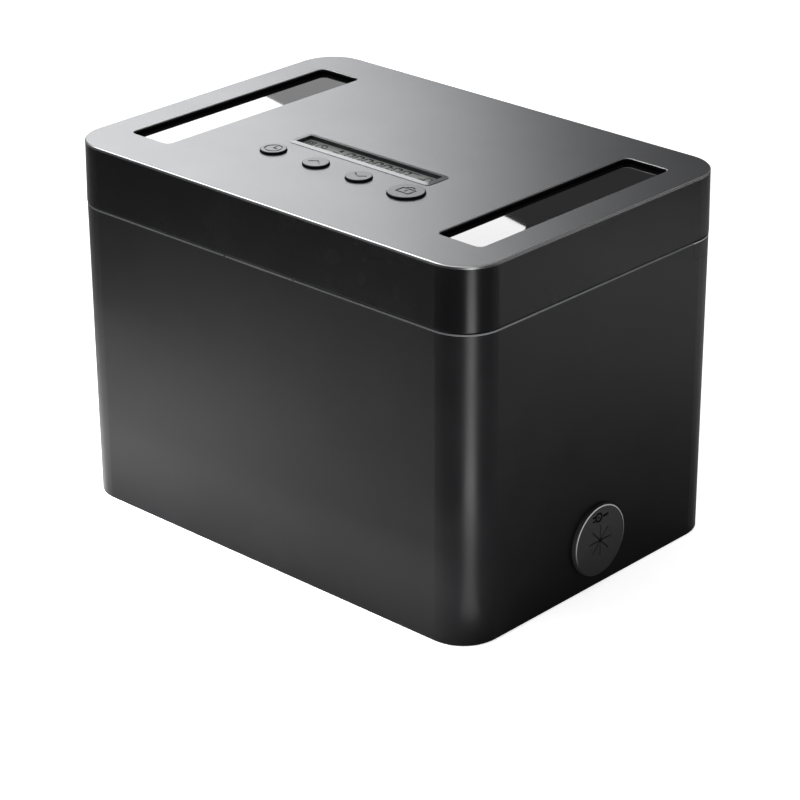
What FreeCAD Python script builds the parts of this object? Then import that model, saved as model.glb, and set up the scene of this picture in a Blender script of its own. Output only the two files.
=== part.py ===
"""Lock box with a timer: a case, a hinged lid and a motor bolt that holds the lid shut.

The lid carries two smoked windows, a display, four push buttons, the battery and the lock.
Millimetres. The origin is under the middle of the box, on the surface that it stands on.
+X runs along the length, towards the cable grommet. The front is at -Y and +Z is up.
The lid is closed and the bolt is drawn back.
"""

import math
import os

import FreeCAD, Part

# Overall size
length = 212.0
width = 150.0
height = 154.2
corner_radius = 16.5

# Case
case_step = 0.15
case_draft = 0.35
case_wall = 3.0
floor_thickness = 3.0
rim_chamfer = 0.5
upstand_height = 1.8
upstand_thickness = 1.2
base_round = 0.4

# Feet
foot_clearance = 0.5
foot_recess = 1.0
foot_inset = 2.0
foot_band = 12.0
foot_reach = 32.0
foot_round = 0.5

# Lid
lid_height = 27.2
seam_gap = 0.6
lid_draft = 0.3
lid_wall = 2.6
lid_top_wall = 2.2
plate_thickness = 1.2
plate_chamfer = 0.4
plate_hole_round = 0.3
lid_edge_round = 0.3

# Hinge
hinge_radius = 3.8
hinge_gap = 0.3
knuckle_setback = 22.0
knuckle_gap = 0.5
hinge_neck = 4.8
neck_top_gap = 0.4
relief_depth = 4.9
pin_radius = 1.5
pin_length = 21.0
pin_hold = 10.0
hinge_block_depth = 10.8
hinge_block_height = 15.0
cap_thickness = 2.2
cap_height = 7.3
cap_start = 54.8
cap_corner = 3.0
cap_backing = 3.0
cap_peg_radius = 1.2
cap_peg_length = 2.4
cap_peg_place = 60.0

# Windows
window_setback = 24.4
window_width = 21.2
window_margin = 41.0
window_centre = 1.2
window_corner = 2.6
window_thickness = 2.4
window_crown = 0.6
window_ledge = 2.4
window_ledge_height = 1.8
window_frame_width = 1.5
window_frame_depth = 1.8
window_frame_height = 0.8
well_wall = 2.2
well_skirt_wall = 1.6
well_skirt_step = 0.6

# Display
display_place = -1.0
display_centre = -13.2
display_length = 74.4
display_width = 12.8
display_corner = 2.2
bezel_border = 2.2
bezel_outer_rise = 0.15
bezel_inner_rise = 0.45
bezel_skirt_step = 0.5
bezel_skirt_wall = 0.8
panel_depth = 1.2
panel_thickness = 1.8
backlight_thickness = 3.2

# Buttons
button_place = -30.4
mode_place = -35.4
up_place = -12.3
down_place = 10.4
lock_place = 34.9
button_radius = 5.3
lock_button_radius = 7.4
button_proud = 1.0
button_edge = 0.35
button_flange = 1.2
button_flange_thickness = 1.2
button_travel = 0.5
stem_radius = 2.0
plunger_radius = 1.6
plunger_length = 3.1
icon_depth = 0.25
icon_stroke = 0.7
clock_radius = 3.4
clock_hand = 1.9
chevron_reach = 2.7
chevron_rise = 2.3
padlock_width = 6.2
padlock_height = 4.2
padlock_drop = 1.4
shackle_radius = 1.9
keyhole_length = 1.2
switch_side = 6.2
switch_height = 3.5
switch_bore_depth = 2.6

# Control board and what stands on it
board_length = 104.0
board_front = -62.0
board_battery_gap = 2.6
board_thickness = 1.6
board_drop = 8.8
board_screw_x = 48.5
board_screw_front = -58.5
board_screw_inset = 3.9
board_screw_length = 7.0
buzzer_place = -38.0
buzzer_radius = 6.0
buzzer_height = 6.4
sounder_hole = 1.0
chip_place = 5.0
chip_side = 12.0
chip_height = 1.4
board_part_row = -50.0

# Inner cover
cover_thickness = 2.6
cover_rise = 2.0
cover_screw_length = 9.0
cover_side_setback = 7.6
cover_side_y = 45.0
cover_end_x = 60.0
cover_front_setback = 9.0
cover_back_setback = 11.0

# Screws and bosses
screw_radius = 1.2
screw_head_radius = 2.3
screw_head_height = 1.4
screw_slot = 0.6
boss_radius = 3.0

# Battery
cell_radius = 5.25
cell_length = 44.5
cell_pitch = 11.1
cell_count = 4
cell_nub_radius = 1.9
cell_nub_length = 1.0
contact_thickness = 0.4
spring_length = 2.7
spring_radius = 3.2
battery_setback = 67.0
battery_wall = 1.6
battery_floor_gap = 0.85
battery_roof_gap = 0.25
battery_side_gap = 0.3
contact_width = 8.0
tab_width = 2.0
tab_height = 4.1
tab_setback = 3.6
door_thickness = 1.6
door_lap = 2.8
door_rib_width = 1.6
door_ear_width = 10.0
door_ear_reach = 5.8
door_screw_setback = 2.6
door_screw_length = 8.0

# Lock
tooth_module = 0.8
pinion_teeth = 12
pressure_angle = 25.0
tooth_addendum = 0.7
tooth_dedendum = 0.95
backlash = 0.15
pinion_width = 5.0
pinion_setback = 11.6
shaft_radius = 1.5
bolt_width = 14.0
bolt_height = 4.5
bolt_throw = 5.0
bolt_tip_setback = 0.3
bolt_nose = 1.2
bolt_tail = 1.4
rack_teeth_front = 2
rack_teeth_back = 4
lock_setback = 8.4
lock_depth = 25.6
lock_left = -12.0
lock_right = 39.6
lock_drop = 18.0
lock_wall = 2.0
lock_ear = 9.0
lock_ear_thickness = 2.0
lock_ear_screw = 4.5
lock_ear_front = 6.6
lock_ear_back = 5.0
guide_height = 2.9
guide_width = 1.8
gearbox_height = 10.0
gearbox_depth = 12.0
gearbox_length = 9.0
gearbox_offset = 7.6
gearbox_bore_depth = 3.6
motor_length = 15.0
cradle_inset = 2.4
lead_radius = 0.5
lead_bend = 3.0
lead_spacing = 5.0
lead_rise = 1.4
lead_run = 0.6
lead_hole = 3.0

# Catch
catch_width = 36.0
catch_back = 5.7
catch_front_gap = 1.65
catch_height = 16.0
catch_lip = 0.8
catch_tick = 0.7
catch_boss_wall = 4.4
catch_boss_floor = 9.0
catch_slot_depth = 5.4
catch_screw_x = 13.0
catch_screw_length = 22.0
nose_gap = 0.9

# Cable grommet
grommet_centre_y = 0.5
grommet_centre_z = 20.7
grommet_radius = 14.8
grommet_neck = 12.4
grommet_proud = 1.9
grommet_inner_flange = 1.4
grommet_round = 0.7
membrane_thickness = 1.6
slit_length = 13.2
slit_width = 0.5
slit_count = 4

# Clearances
fit_gap = 0.1
side_gap = 0.2
slide_gap = 0.15
running_gap = 0.05
press_gap = 0.02

# Levels and places that follow from the sizes
rim_height = height - lid_height
plate_top = height - button_proud
plate_bottom = plate_top - plate_thickness
ceiling = plate_bottom - lid_top_wall
seam = rim_height + seam_gap
case_top = rim_height + upstand_height
floor_top = foot_clearance + floor_thickness
hinge_y = width / 2 - hinge_radius
hinge_z = rim_height - hinge_radius
knuckle_reach = length / 2 - knuckle_setback
window_place = length / 2 - window_setback
window_length = width - window_margin
cover_side_x = length / 2 - cover_side_setback
cover_end_front = cover_front_setback - width / 2
cover_end_back = width / 2 - cover_back_setback
cover_bottom = seam + cover_rise
cover_top = cover_bottom + cover_thickness
board_top = ceiling - board_drop
board_bottom = board_top - board_thickness
switch_top = board_top + switch_height
panel_top = plate_top - panel_depth
panel_bottom = panel_top - panel_thickness
backlight_bottom = panel_bottom - backlight_thickness
frame_top = plate_top - window_frame_depth
window_step = frame_top - window_frame_height
window_seat = window_step - window_thickness
well_bottom = window_seat - window_ledge_height
flange_top = ceiling - hinge_gap
flange_bottom = flange_top - button_flange_thickness
lock_bottom = cover_bottom - lock_drop
lock_floor = lock_bottom + lock_wall
lock_front = lock_setback - width / 2
lock_back = lock_front + lock_depth
bolt_bottom = lock_floor + slide_gap
bolt_top = bolt_bottom + bolt_height
pitch_radius = tooth_module * pinion_teeth / 2
tooth_pitch = math.pi * tooth_module
pinion_z = bolt_top + pitch_radius
pinion_place = lock_front + pinion_setback
catch_inner = lock_front - nose_gap
catch_outer = catch_inner - catch_back
cell_z = cover_bottom + door_thickness + battery_floor_gap + cell_radius
battery_half = cell_pitch * (cell_count - 1) / 2 + cell_radius + battery_side_gap
battery_front = width / 2 - battery_setback
board_back = battery_front - board_battery_gap
board_screw_back = board_back - board_screw_inset
battery_back = battery_front + 2 * contact_thickness + cell_length + spring_length
battery_roof = cell_z + cell_radius + battery_roof_gap

BUTTONS = {
    "mode": (mode_place, button_radius),
    "up": (up_place, button_radius),
    "down": (down_place, button_radius),
    "lock": (lock_place, lock_button_radius),
}
SIDES = {"left": -1, "right": 1}
UP = FreeCAD.Vector(0, 0, 1)
ALONG = FreeCAD.Vector(1, 0, 0)
BACK = FreeCAD.Vector(0, 1, 0)


def point(x, y, z):
    """A place in the box's own frame."""
    return FreeCAD.Vector(x, y, z)


def block(x_low, x_high, y_low, y_high, z_low, z_high):
    """A square-edged block between three pairs of limits."""
    return Part.makeBox(x_high - x_low, y_high - y_low, z_high - z_low, point(x_low, y_low, z_low))


def rod(radius, start, direction, reach):
    """A round bar that starts at a point and runs one way."""
    return Part.makeCylinder(radius, reach, start, direction)


def joined(shapes):
    """One shape from several that meet, with its needless edges removed."""
    return shapes[0].fuse(shapes[1:]).removeSplitter()


def mirrored_pair(shape):
    """A shape and its copy across the middle plane of the length."""
    return [shape, shape.mirror(point(0, 0, 0), ALONG)]


def outline(size_x, size_y, radius, z, centre_x=0.0, centre_y=0.0):
    """A rectangle with round corners, as a closed wire at one height."""
    half_x = size_x / 2 - radius
    half_y = size_y / 2 - radius
    corners = ((half_x, half_y), (-half_x, half_y), (-half_x, -half_y), (half_x, -half_y))
    arcs = []
    for turn, (x, y) in enumerate(corners):
        centre = point(centre_x + x, centre_y + y, z)
        arcs.append(Part.makeCircle(radius, centre, UP, 90 * turn, 90 * turn + 90))
    edges = []
    for arc, following in zip(arcs, arcs[1:] + arcs[:1]):
        edges.append(arc)
        edges.append(Part.makeLine(arc.Vertexes[-1].Point, following.Vertexes[0].Point))
    return Part.Wire(Part.__sortEdges__(edges))


def slab(size_x, size_y, radius, z_low, z_high, centre_x=0.0, centre_y=0.0):
    """A plate with round corners between two heights."""
    wire = outline(size_x, size_y, radius, z_low, centre_x, centre_y)
    return Part.Face(wire).extrude(point(0, 0, z_high - z_low))


def case_outline(z, inset):
    """The case's outside at one height, moved inwards. It narrows towards the floor."""
    side = case_step + inset + case_draft * (rim_height - z) / (rim_height - foot_clearance)
    return outline(length - 2 * side, width - 2 * side, corner_radius - side, z)


def lid_outline(z, inset):
    """The lid's outside at one height, moved inwards. It narrows towards the top."""
    side = inset + lid_draft * (z - seam) / (plate_bottom - seam)
    return outline(length - 2 * side, width - 2 * side, corner_radius - side, z)


def between(outline_at, z_low, z_high, inset):
    """The solid inside an outline that changes evenly between two heights."""
    wires = [outline_at(z_low, inset), outline_at(z_high, inset)]
    return Part.makeLoft(wires, True, True)


def edges_at(shape, z):
    """The edges of a shape that lie flat at one height."""
    level = []
    for edge in shape.Edges:
        box = edge.BoundBox
        if abs(box.ZMin - z) < 1e-4 and abs(box.ZMax - z) < 1e-4:
            level.append(edge)
    return level


def screw(x, y, seat, reach, head_side):
    """A round-headed screw. It runs up or down from the face that its head bears on."""
    seat_point = point(x, y, seat)
    into = UP * -head_side
    outwards = UP * head_side
    shank = rod(screw_radius, seat_point, into, reach)
    head = rod(screw_head_radius, seat_point, outwards, screw_head_height)
    slot_low = seat + head_side * (screw_head_height - screw_slot)
    slot_high = seat + head_side * (screw_head_height + screw_slot)
    slot_z = sorted((slot_low, slot_high))
    slot = block(x - screw_head_radius, x + screw_head_radius,
                 y - screw_slot / 2, y + screw_slot / 2, *slot_z)
    return shank.fuse(head).cut(slot)


def screw_hole(x, y, z_low, z_high):
    """The round hole that a screw's shank fills."""
    return rod(screw_radius + press_gap, point(x, y, z_low), UP, z_high - z_low)


def boss(x, y, z_low, z_high):
    """A round post for a screw."""
    return rod(boss_radius, point(x, y, z_low), UP, z_high - z_low)


def cover_screw_places():
    """Where the inner cover is screwed to the lid."""
    places = []
    for side in SIDES.values():
        places.append((side * cover_side_x, -cover_side_y))
        places.append((side * cover_side_x, cover_side_y))
        places.append((side * cover_end_x, cover_end_front))
        places.append((side * cover_end_x, cover_end_back))
    return places


def board_screw_places():
    """Where the control board is screwed to the lid."""
    places = []
    for side in SIDES.values():
        places.append((side * board_screw_x, board_screw_front))
        places.append((side * board_screw_x, board_screw_back))
    return places


def lock_screw_places():
    """Where the lock housing's ears are screwed to the inner cover."""
    places = []
    for x in (lock_left - lock_ear_screw, lock_right + lock_ear_screw):
        places.append((x, lock_front + lock_ear_front))
        places.append((x, lock_back - lock_ear_back))
    return places


def hinge_rod(radius, x_low, x_high):
    """A round bar on the hinge's axis."""
    return rod(radius, point(x_low, hinge_y, hinge_z), ALONG, x_high - x_low)


def relieved(shape):
    """A shape with the space behind the hinge's axis cut free, and its own end knuckles kept."""
    knuckles = mirrored_pair(hinge_rod(hinge_radius, knuckle_reach + knuckle_gap, length / 2))
    kept = [knuckle.common(shape) for knuckle in knuckles]
    behind = block(-length, length, hinge_y, width, hinge_z - relief_depth, height)
    return joined([shape.cut(behind)] + kept)


def cap_blank(margin):
    """The space of the right hinge cap, made larger all round by a margin."""
    bottom = rim_height - cap_height - margin
    front = cap_start - margin
    top = rim_height + margin
    start = knuckle_reach + knuckle_gap - margin
    outside = between(case_outline, bottom, top, 0)
    inside = between(case_outline, bottom, top, cap_thickness + margin)
    window = block(start, length, front, width, bottom, top)
    corner = [edge for edge in edges_at(window, bottom) if abs(edge.BoundBox.YMax - front) < 1e-4]
    window = window.makeFillet(cap_corner, corner)
    return outside.cut(inside).common(window)


def cap_peg(radius, reach):
    """The peg that holds the right hinge cap. It starts in the cap and points inwards."""
    start = length / 2 - case_step - cap_thickness / 2
    peg_length = cap_thickness / 2 + reach
    return rod(radius, point(start, cap_peg_place, rim_height - cap_height / 2), ALONG * -1,
               peg_length)


def body_shell():
    """The case: floor, four walls, the hinge block at the back and the catch block in front."""
    outside = between(case_outline, foot_clearance, rim_height, 0)
    outside = outside.makeFillet(base_round, edges_at(outside, foot_clearance))
    outside = outside.makeChamfer(rim_chamfer, edges_at(outside, rim_height))
    inside = between(case_outline, floor_top, case_top, case_wall)
    shell = outside.cut(inside)
    ring = between(case_outline, rim_height, case_top, case_wall - fit_gap)
    ring = ring.cut(between(case_outline, rim_height, case_top, case_wall + upstand_thickness))
    behind = block(-length, length, cap_start, width, rim_height, case_top)
    catch_half = catch_width / 2 + catch_boss_wall
    ahead = block(-catch_half, catch_half, -width, 0, rim_height, case_top)
    ring = ring.cut([behind, ahead])
    root = between(case_outline, rim_height - upstand_thickness, rim_height, case_wall - fit_gap)
    root = root.cut(between(case_outline, rim_height - upstand_thickness, rim_height,
                            case_wall + upstand_thickness))
    hinge_front = width / 2 - hinge_block_depth
    hinge_low = rim_height - hinge_block_height
    core = between(case_outline, floor_top, rim_height, rim_chamfer)
    hinge_block = core.common(block(-length, length, hinge_front, width, hinge_low, rim_height))
    backing = core.cut(between(case_outline, floor_top, rim_height, case_wall + cap_backing))
    start = knuckle_reach - cap_backing
    window = block(start, length, cap_start - cap_backing, width, hinge_low, rim_height)
    backings = mirrored_pair(backing.common(window))
    catch_low = rim_height - catch_height
    catch_block = core.common(block(-catch_half, catch_half, -width, catch_inner,
                                    catch_low - catch_boss_floor, rim_height))
    shell = joined([shell, ring, root, hinge_block, catch_block] + backings)
    shell = relieved(shell)
    reach = knuckle_reach + knuckle_gap
    shell = shell.cut(hinge_rod(hinge_radius + hinge_gap, -reach, reach))
    cuts = []
    cuts += mirrored_pair(cap_blank(fit_gap))
    cuts += mirrored_pair(cap_peg(cap_peg_radius + running_gap, cap_peg_length + fit_gap))
    cuts += mirrored_pair(hinge_rod(pin_radius + press_gap, knuckle_reach, length / 2))
    half = catch_width / 2 + fit_gap
    cuts.append(block(-half, half, catch_outer - fit_gap, 0, catch_low, case_top))
    tick = catch_width / 2 + catch_tick
    cuts.append(block(-tick, tick, -width, catch_outer, rim_height - catch_lip, case_top))
    cuts.append(block(-tick, tick, -width, catch_outer + catch_tick,
                      rim_height - catch_lip, case_top))
    for side in SIDES.values():
        low = catch_low - catch_screw_length + catch_height
        cuts.append(screw_hole(side * catch_screw_x, catch_screw_y(), low, catch_low))
    for corner in foot_corners():
        cuts.append(foot_blank(corner, -fit_gap, foot_clearance + foot_recess))
    wall_outside = length / 2 + 1
    cuts.append(rod(grommet_neck + side_gap, grommet_centre(length / 3), ALONG,
                    wall_outside - length / 3))
    return shell.cut(cuts)


def grommet_centre(x):
    """The cable grommet's centre line at one place along the length."""
    return point(x, grommet_centre_y, grommet_centre_z)


def side_face(z):
    """How far out the case's end wall stands at one height."""
    lean = case_draft * (rim_height - z) / (rim_height - foot_clearance)
    return length / 2 - case_step - lean


def cable_grommet():
    """A rubber plug in the end wall, with a star of slits that a cable pushes through."""
    face = side_face(grommet_centre_z + grommet_radius) + running_gap
    inner = side_face(grommet_centre_z - grommet_radius) - case_wall - running_gap
    flange = rod(grommet_radius, grommet_centre(face), ALONG, grommet_proud)
    rim = [edge for edge in flange.Edges if edge.BoundBox.XMin > face + grommet_proud - 1e-4]
    flange = flange.makeFillet(grommet_round, rim)
    neck = rod(grommet_neck, grommet_centre(inner - fit_gap), ALONG, face - inner + 2 * fit_gap)
    inner_radius = grommet_radius - grommet_inner_flange
    inner_plate = rod(inner_radius, grommet_centre(inner), ALONG * -1, grommet_inner_flange)
    plug = joined([flange, neck, inner_plate])
    face_front = face + grommet_proud
    membrane_back = face_front - membrane_thickness
    bore_radius = slit_length / 2 + slit_width
    back_end = inner - 2 * grommet_inner_flange
    bore = rod(bore_radius, grommet_centre(back_end), ALONG, membrane_back - back_end)
    slits = [bore]
    for turn in range(slit_count):
        slit = block(back_end, face_front + 1, grommet_centre_y - slit_length / 2,
                     grommet_centre_y + slit_length / 2, grommet_centre_z - slit_width / 2,
                     grommet_centre_z + slit_width / 2)
        slit.rotate(grommet_centre(0), ALONG, 180 * turn / slit_count)
        slits.append(slit)
    return plug.cut(slits)


def foot_corners():
    """The four corners, as signs along X and Y, with the names of their feet."""
    corners = []
    for end, side_x in SIDES.items():
        for row, side_y in (("front", -1), ("rear", 1)):
            corners.append((row + "_" + end, side_x, side_y))
    return corners


def foot_blank(corner, margin, top):
    """A pad that follows one corner of the floor, made smaller all round by a margin."""
    side_x, side_y = corner[1:]
    outer = foot_inset + case_step + case_draft + margin
    inner = foot_inset + case_step + case_draft + foot_band - margin
    pad = slab(length - 2 * outer, width - 2 * outer, corner_radius - outer, 0, top)
    core = slab(length - 2 * inner, width - 2 * inner, corner_radius - outer, 0, top)
    reach_x = sorted((side_x * length / 2, side_x * (length / 2 - foot_reach + margin)))
    reach_y = sorted((side_y * width / 2, side_y * (width / 2 - foot_reach + margin)))
    return pad.cut(core).common(block(*reach_x, *reach_y, 0, top))


def foot(corner):
    """One rubber foot, let into the floor."""
    pad = foot_blank(corner, 0, foot_clearance + foot_recess)
    return pad.makeChamfer(foot_round, edges_at(pad, 0))


def hinge_cap():
    """The cover over the right end of the hinge pin. It follows the back corner."""
    cap = relieved(cap_blank(0))
    groove = hinge_rod(pin_radius + fit_gap, 0, knuckle_reach - pin_hold + pin_length + fit_gap)
    return joined([cap, cap_peg(cap_peg_radius, cap_peg_length)]).cut(groove)


def hinge_pin():
    """The right stub pin, half in the case's knuckle and half in the lid's."""
    start = knuckle_reach - pin_hold
    return hinge_rod(pin_radius, start, start + pin_length)


def catch_screw_y():
    """Where the catch's screws stand across the front wall."""
    return (catch_inner + catch_outer) / 2 - fit_gap


def front_catch():
    """The insert in the front wall that the bolt runs into."""
    low = rim_height - catch_height
    half = catch_width / 2
    body = block(-half, half, catch_outer, catch_inner, low, rim_height)
    outside = between(case_outline, foot_clearance, rim_height, 0)
    outside = outside.makeChamfer(rim_chamfer, edges_at(outside, rim_height))
    lip = outside.common(block(-half, half, -width, catch_outer,
                               rim_height - catch_lip + fit_gap, rim_height))
    catch = joined([body, lip])
    slot_half = bolt_width / 2 + 4 * side_gap
    slot_gap = 3 * side_gap
    cuts = [block(-slot_half, slot_half, catch_inner - catch_slot_depth, 0,
                  bolt_bottom - slot_gap, bolt_top + slot_gap)]
    for side in SIDES.values():
        x = side * catch_screw_x
        cuts.append(screw_hole(x, catch_screw_y(), low, rim_height))
        head = rod(screw_head_radius + fit_gap, point(x, catch_screw_y(), rim_height), UP * -1,
                   screw_head_height)
        cuts.append(head)
    return catch.cut(cuts)


def catch_screws():
    """Two long screws that hold the catch down."""
    seat = rim_height - screw_head_height
    reach = catch_screw_length - screw_head_height - running_gap
    places = [side * catch_screw_x for side in SIDES.values()]
    return Part.makeCompound([screw(x, catch_screw_y(), seat, reach, 1) for x in places])


def window_slab(side, inset, z_low, z_high):
    """A plate of one window's outline, moved inwards."""
    radius = max(window_corner - inset, window_corner / 4)
    return slab(window_width - 2 * inset, window_length - 2 * inset, radius, z_low, z_high,
                side * window_place, window_centre)


def display_slab(inset, z_low, z_high):
    """A plate of the display's outline, moved inwards."""
    radius = max(display_corner - inset, display_corner / 4)
    return slab(display_length - 2 * inset, display_width - 2 * inset, radius, z_low, z_high,
                display_place, display_centre)


def button_holes(z_low, z_high):
    """The round holes that the four buttons slide in."""
    holes = []
    for x, radius in BUTTONS.values():
        start = point(x, button_place, z_low)
        holes.append(rod(radius + side_gap, start, UP, z_high - z_low))
    return holes


def lid_shell():
    """The lid's casing: its sides, its top wall, the window seats and the hinge's long knuckle."""
    outside = between(lid_outline, seam, plate_bottom, 0)
    outside = outside.makeFillet(lid_edge_round, edges_at(outside, seam))
    inside = between(lid_outline, seam - 1, ceiling, lid_wall)
    neck_top = cover_bottom - neck_top_gap
    neck = block(-knuckle_reach, knuckle_reach, width / 2 - hinge_neck, width / 2,
                 hinge_z, neck_top)
    barrel = hinge_rod(hinge_radius, -knuckle_reach, knuckle_reach)
    parts = [outside.cut(inside), neck, barrel]
    for side in SIDES.values():
        parts.append(window_slab(side, -well_wall, well_bottom, ceiling + 1))
    for x, y in cover_screw_places():
        parts.append(boss(x, y, cover_top, ceiling + 1))
    for x, y in board_screw_places():
        parts.append(boss(x, y, board_top, ceiling + 1))
    shell = joined(parts)
    cuts = []
    for side in SIDES.values():
        cuts.append(window_slab(side, -slide_gap, window_seat, plate_top))
        cuts.append(window_slab(side, window_ledge, well_bottom - 1, window_seat + 1))
    for x, y in cover_screw_places():
        cuts.append(screw_hole(x, y, cover_top - 1, cover_top + cover_screw_length))
    for x, y in board_screw_places():
        cuts.append(screw_hole(x, y, board_top - 1, board_top + board_screw_length))
    cuts.append(display_slab(bezel_skirt_step - side_gap, ceiling - 1, plate_top))
    cuts += button_holes(ceiling - 1, plate_top)
    bore = hinge_rod(pin_radius + running_gap, knuckle_reach - pin_hold - side_gap,
                     knuckle_reach + 1)
    cuts += mirrored_pair(bore)
    return shell.cut(cuts)


def top_plate():
    """The metal plate that covers the lid, with holes for windows, display and buttons."""
    side = lid_draft
    plate = slab(length - 2 * side, width - 2 * side, corner_radius - side, plate_bottom, plate_top)
    plate = plate.makeChamfer(plate_chamfer, edges_at(plate, plate_top))
    openings = [window_slab(side_x, 0, plate_bottom - 1, plate_top + 1)
                for side_x in SIDES.values()]
    plate = plate.cut(openings)
    half_window = window_width / 2 + plate_hole_round
    lips = [edge for edge in edges_at(plate, plate_top)
            if abs(abs(edge.CenterOfMass.x) - window_place) < half_window]
    plate = plate.makeFillet(plate_hole_round, lips)
    cuts = [display_slab(bezel_skirt_step - side_gap, plate_bottom - 1, plate_top + 1)]
    cuts += button_holes(plate_bottom - 1, plate_top + 1)
    return plate.cut(cuts)


def window(side):
    """One smoked window: a pane with a raised middle."""
    pane = window_slab(side, 0, window_seat, window_step)
    crown = window_slab(side, window_frame_width + fit_gap, window_step,
                        window_step + window_crown)
    return joined([pane, crown])


def window_frame(side):
    """The trim that lies on the edge of one window."""
    outer = window_slab(side, 0, window_step, frame_top)
    return outer.cut(window_slab(side, window_frame_width, window_step - 1, frame_top + 1))


def bezel_ring(inset, rise):
    """One edge of the bezel's sloping face, as a wire."""
    radius = max(display_corner - inset, display_corner / 4)
    return outline(display_length - 2 * inset, display_width - 2 * inset, radius,
                   plate_top + rise, display_place, display_centre)


def display_bezel():
    """The frame round the display. Its face rises towards the glass."""
    foot_wire = bezel_ring(0, 0)
    shoulder = bezel_ring(0, bezel_outer_rise)
    crest = bezel_ring(bezel_border, bezel_inner_rise)
    base = Part.makeLoft([foot_wire, shoulder], True, True)
    slope = Part.makeLoft([shoulder, crest], True, True)
    skirt = display_slab(bezel_skirt_step, panel_bottom, plate_top)
    bezel = joined([base, slope, skirt])
    opening = display_slab(bezel_border, panel_top - 1, plate_top + 1)
    pocket_inset = bezel_skirt_step + bezel_skirt_wall
    pocket = display_slab(pocket_inset, panel_bottom - 1, panel_top)
    return bezel.cut([opening, pocket])


def display_part(z_low, z_high):
    """A block that fills the bezel's pocket, or stands under it."""
    return display_slab(bezel_skirt_step + bezel_skirt_wall + fit_gap, z_low, z_high)


def control_board():
    """The circuit board behind the display and the buttons."""
    half = board_length / 2
    board = block(-half, half, board_front, board_back, board_bottom, board_top)
    cuts = [screw_hole(x, y, board_bottom - 1, board_top + 1) for x, y in board_screw_places()]
    return board.cut(cuts)


def board_screws():
    """The screws that hold the control board."""
    reach = board_thickness + board_screw_length - fit_gap
    places = board_screw_places()
    return Part.makeCompound([screw(x, y, board_bottom, reach, -1) for x, y in places])


def push_switch(x):
    """The fixed body of the switch under one button."""
    half = switch_side / 2
    body = block(x - half, x + half, button_place - half, button_place + half,
                 board_top, switch_top)
    bore = rod(plunger_radius + side_gap, point(x, button_place, switch_top - switch_bore_depth),
               UP, switch_height)
    return body.cut(bore)


def plunger(x):
    """The sprung pin of one switch."""
    top = switch_top + plunger_length / 2
    return rod(plunger_radius, point(x, button_place, top), UP * -1, plunger_length)


def groove(start, end):
    """A shallow round-ended groove in a button's top, between two places."""
    low = point(start[0], start[1], height - icon_depth)
    along = point(end[0] - start[0], end[1] - start[1], 0)
    half = icon_stroke / 2
    bar = Part.makeBox(along.Length, icon_stroke, 2 * icon_depth, point(0, -half, 0))
    bar.rotate(point(0, 0, 0), UP, math.degrees(math.atan2(along.y, along.x)))
    bar.translate(low)
    ends = [rod(half, place, UP, 2 * icon_depth) for place in (low, low + along)]
    return bar.fuse(ends)


def groove_path(places):
    """A groove that runs through several places in turn."""
    pieces = [groove(start, end) for start, end in zip(places, places[1:])]
    return pieces[0].fuse(pieces[1:])


def groove_arc(x, y, radius, first, last):
    """A shallow groove along part of a circle, between two angles in degrees."""
    low = height - icon_depth
    angles = (UP, first, last)
    outer = Part.makeCircle(radius + icon_stroke / 2, point(x, y, low), *angles)
    inner = Part.makeCircle(radius - icon_stroke / 2, point(x, y, low), *angles)
    if last - first < 360:
        starts = Part.makeLine(inner.Vertexes[0].Point, outer.Vertexes[0].Point)
        ends = Part.makeLine(inner.Vertexes[-1].Point, outer.Vertexes[-1].Point)
        face = Part.Face(Part.Wire(Part.__sortEdges__([outer, ends, inner, starts])))
    else:
        face = Part.Face(Part.Wire(outer)).cut(Part.Face(Part.Wire(inner)))
    return face.extrude(UP * (2 * icon_depth))


def clock_icon(x, y):
    """A clock face with two hands."""
    hands = groove_path([(x, y + clock_hand), (x, y), (x + clock_hand, y)])
    return [groove_arc(x, y, clock_radius, 0, 360), hands]


def chevron_icon(x, y, way):
    """An arrow head that points to the back (1) or to the front (-1)."""
    tip_y = y + way * chevron_rise / 2
    tail_y = y - way * chevron_rise / 2
    return [groove_path([(x - chevron_reach, tail_y), (x, tip_y), (x + chevron_reach, tail_y)])]


def padlock_icon(x, y):
    """A padlock with its shackle and keyhole."""
    half = padlock_width / 2
    top = y + padlock_height - padlock_drop - shackle_radius / 2
    low = top - padlock_height
    body = groove_path([(x - half, low), (x + half, low), (x + half, top), (x - half, top),
                        (x - half, low)])
    middle = (low + top) / 2
    keyhole = groove((x, middle - keyhole_length / 2), (x, middle + keyhole_length / 2))
    return [body, groove_arc(x, top, shackle_radius, 0, 180), keyhole]


def button_icon(name, x):
    """The grooves of one button's sign."""
    if name == "mode":
        return clock_icon(x, button_place)
    if name == "lock":
        return padlock_icon(x, button_place)
    return chevron_icon(x, button_place, 1 if name == "up" else -1)


def button(name, x, radius):
    """One button cap: the part that shows, the flange that keeps it in and the stem."""
    cap = rod(radius, point(x, button_place, flange_bottom), UP, height - flange_bottom)
    cap = cap.makeFillet(button_edge, edges_at(cap, height))
    flange = rod(radius + button_flange, point(x, button_place, flange_bottom), UP,
                 button_flange_thickness)
    stem_low = switch_top + plunger_length / 2
    stem = rod(stem_radius, point(x, button_place, stem_low), UP, flange_top - stem_low)
    return joined([cap, flange, stem]).cut(button_icon(name, x))


def buzzer():
    """The sounder on the control board."""
    can = rod(buzzer_radius, point(buzzer_place, board_part_row, board_top), UP, buzzer_height)
    hole = rod(sounder_hole, point(buzzer_place, board_part_row, board_top + buzzer_height / 2),
               UP, buzzer_height)
    return can.cut(hole)


def microcontroller():
    """The control chip on the board."""
    half = chip_side / 2
    return block(chip_place - half, chip_place + half, board_part_row - half,
                 board_part_row + half, board_top, board_top + chip_height)


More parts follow.
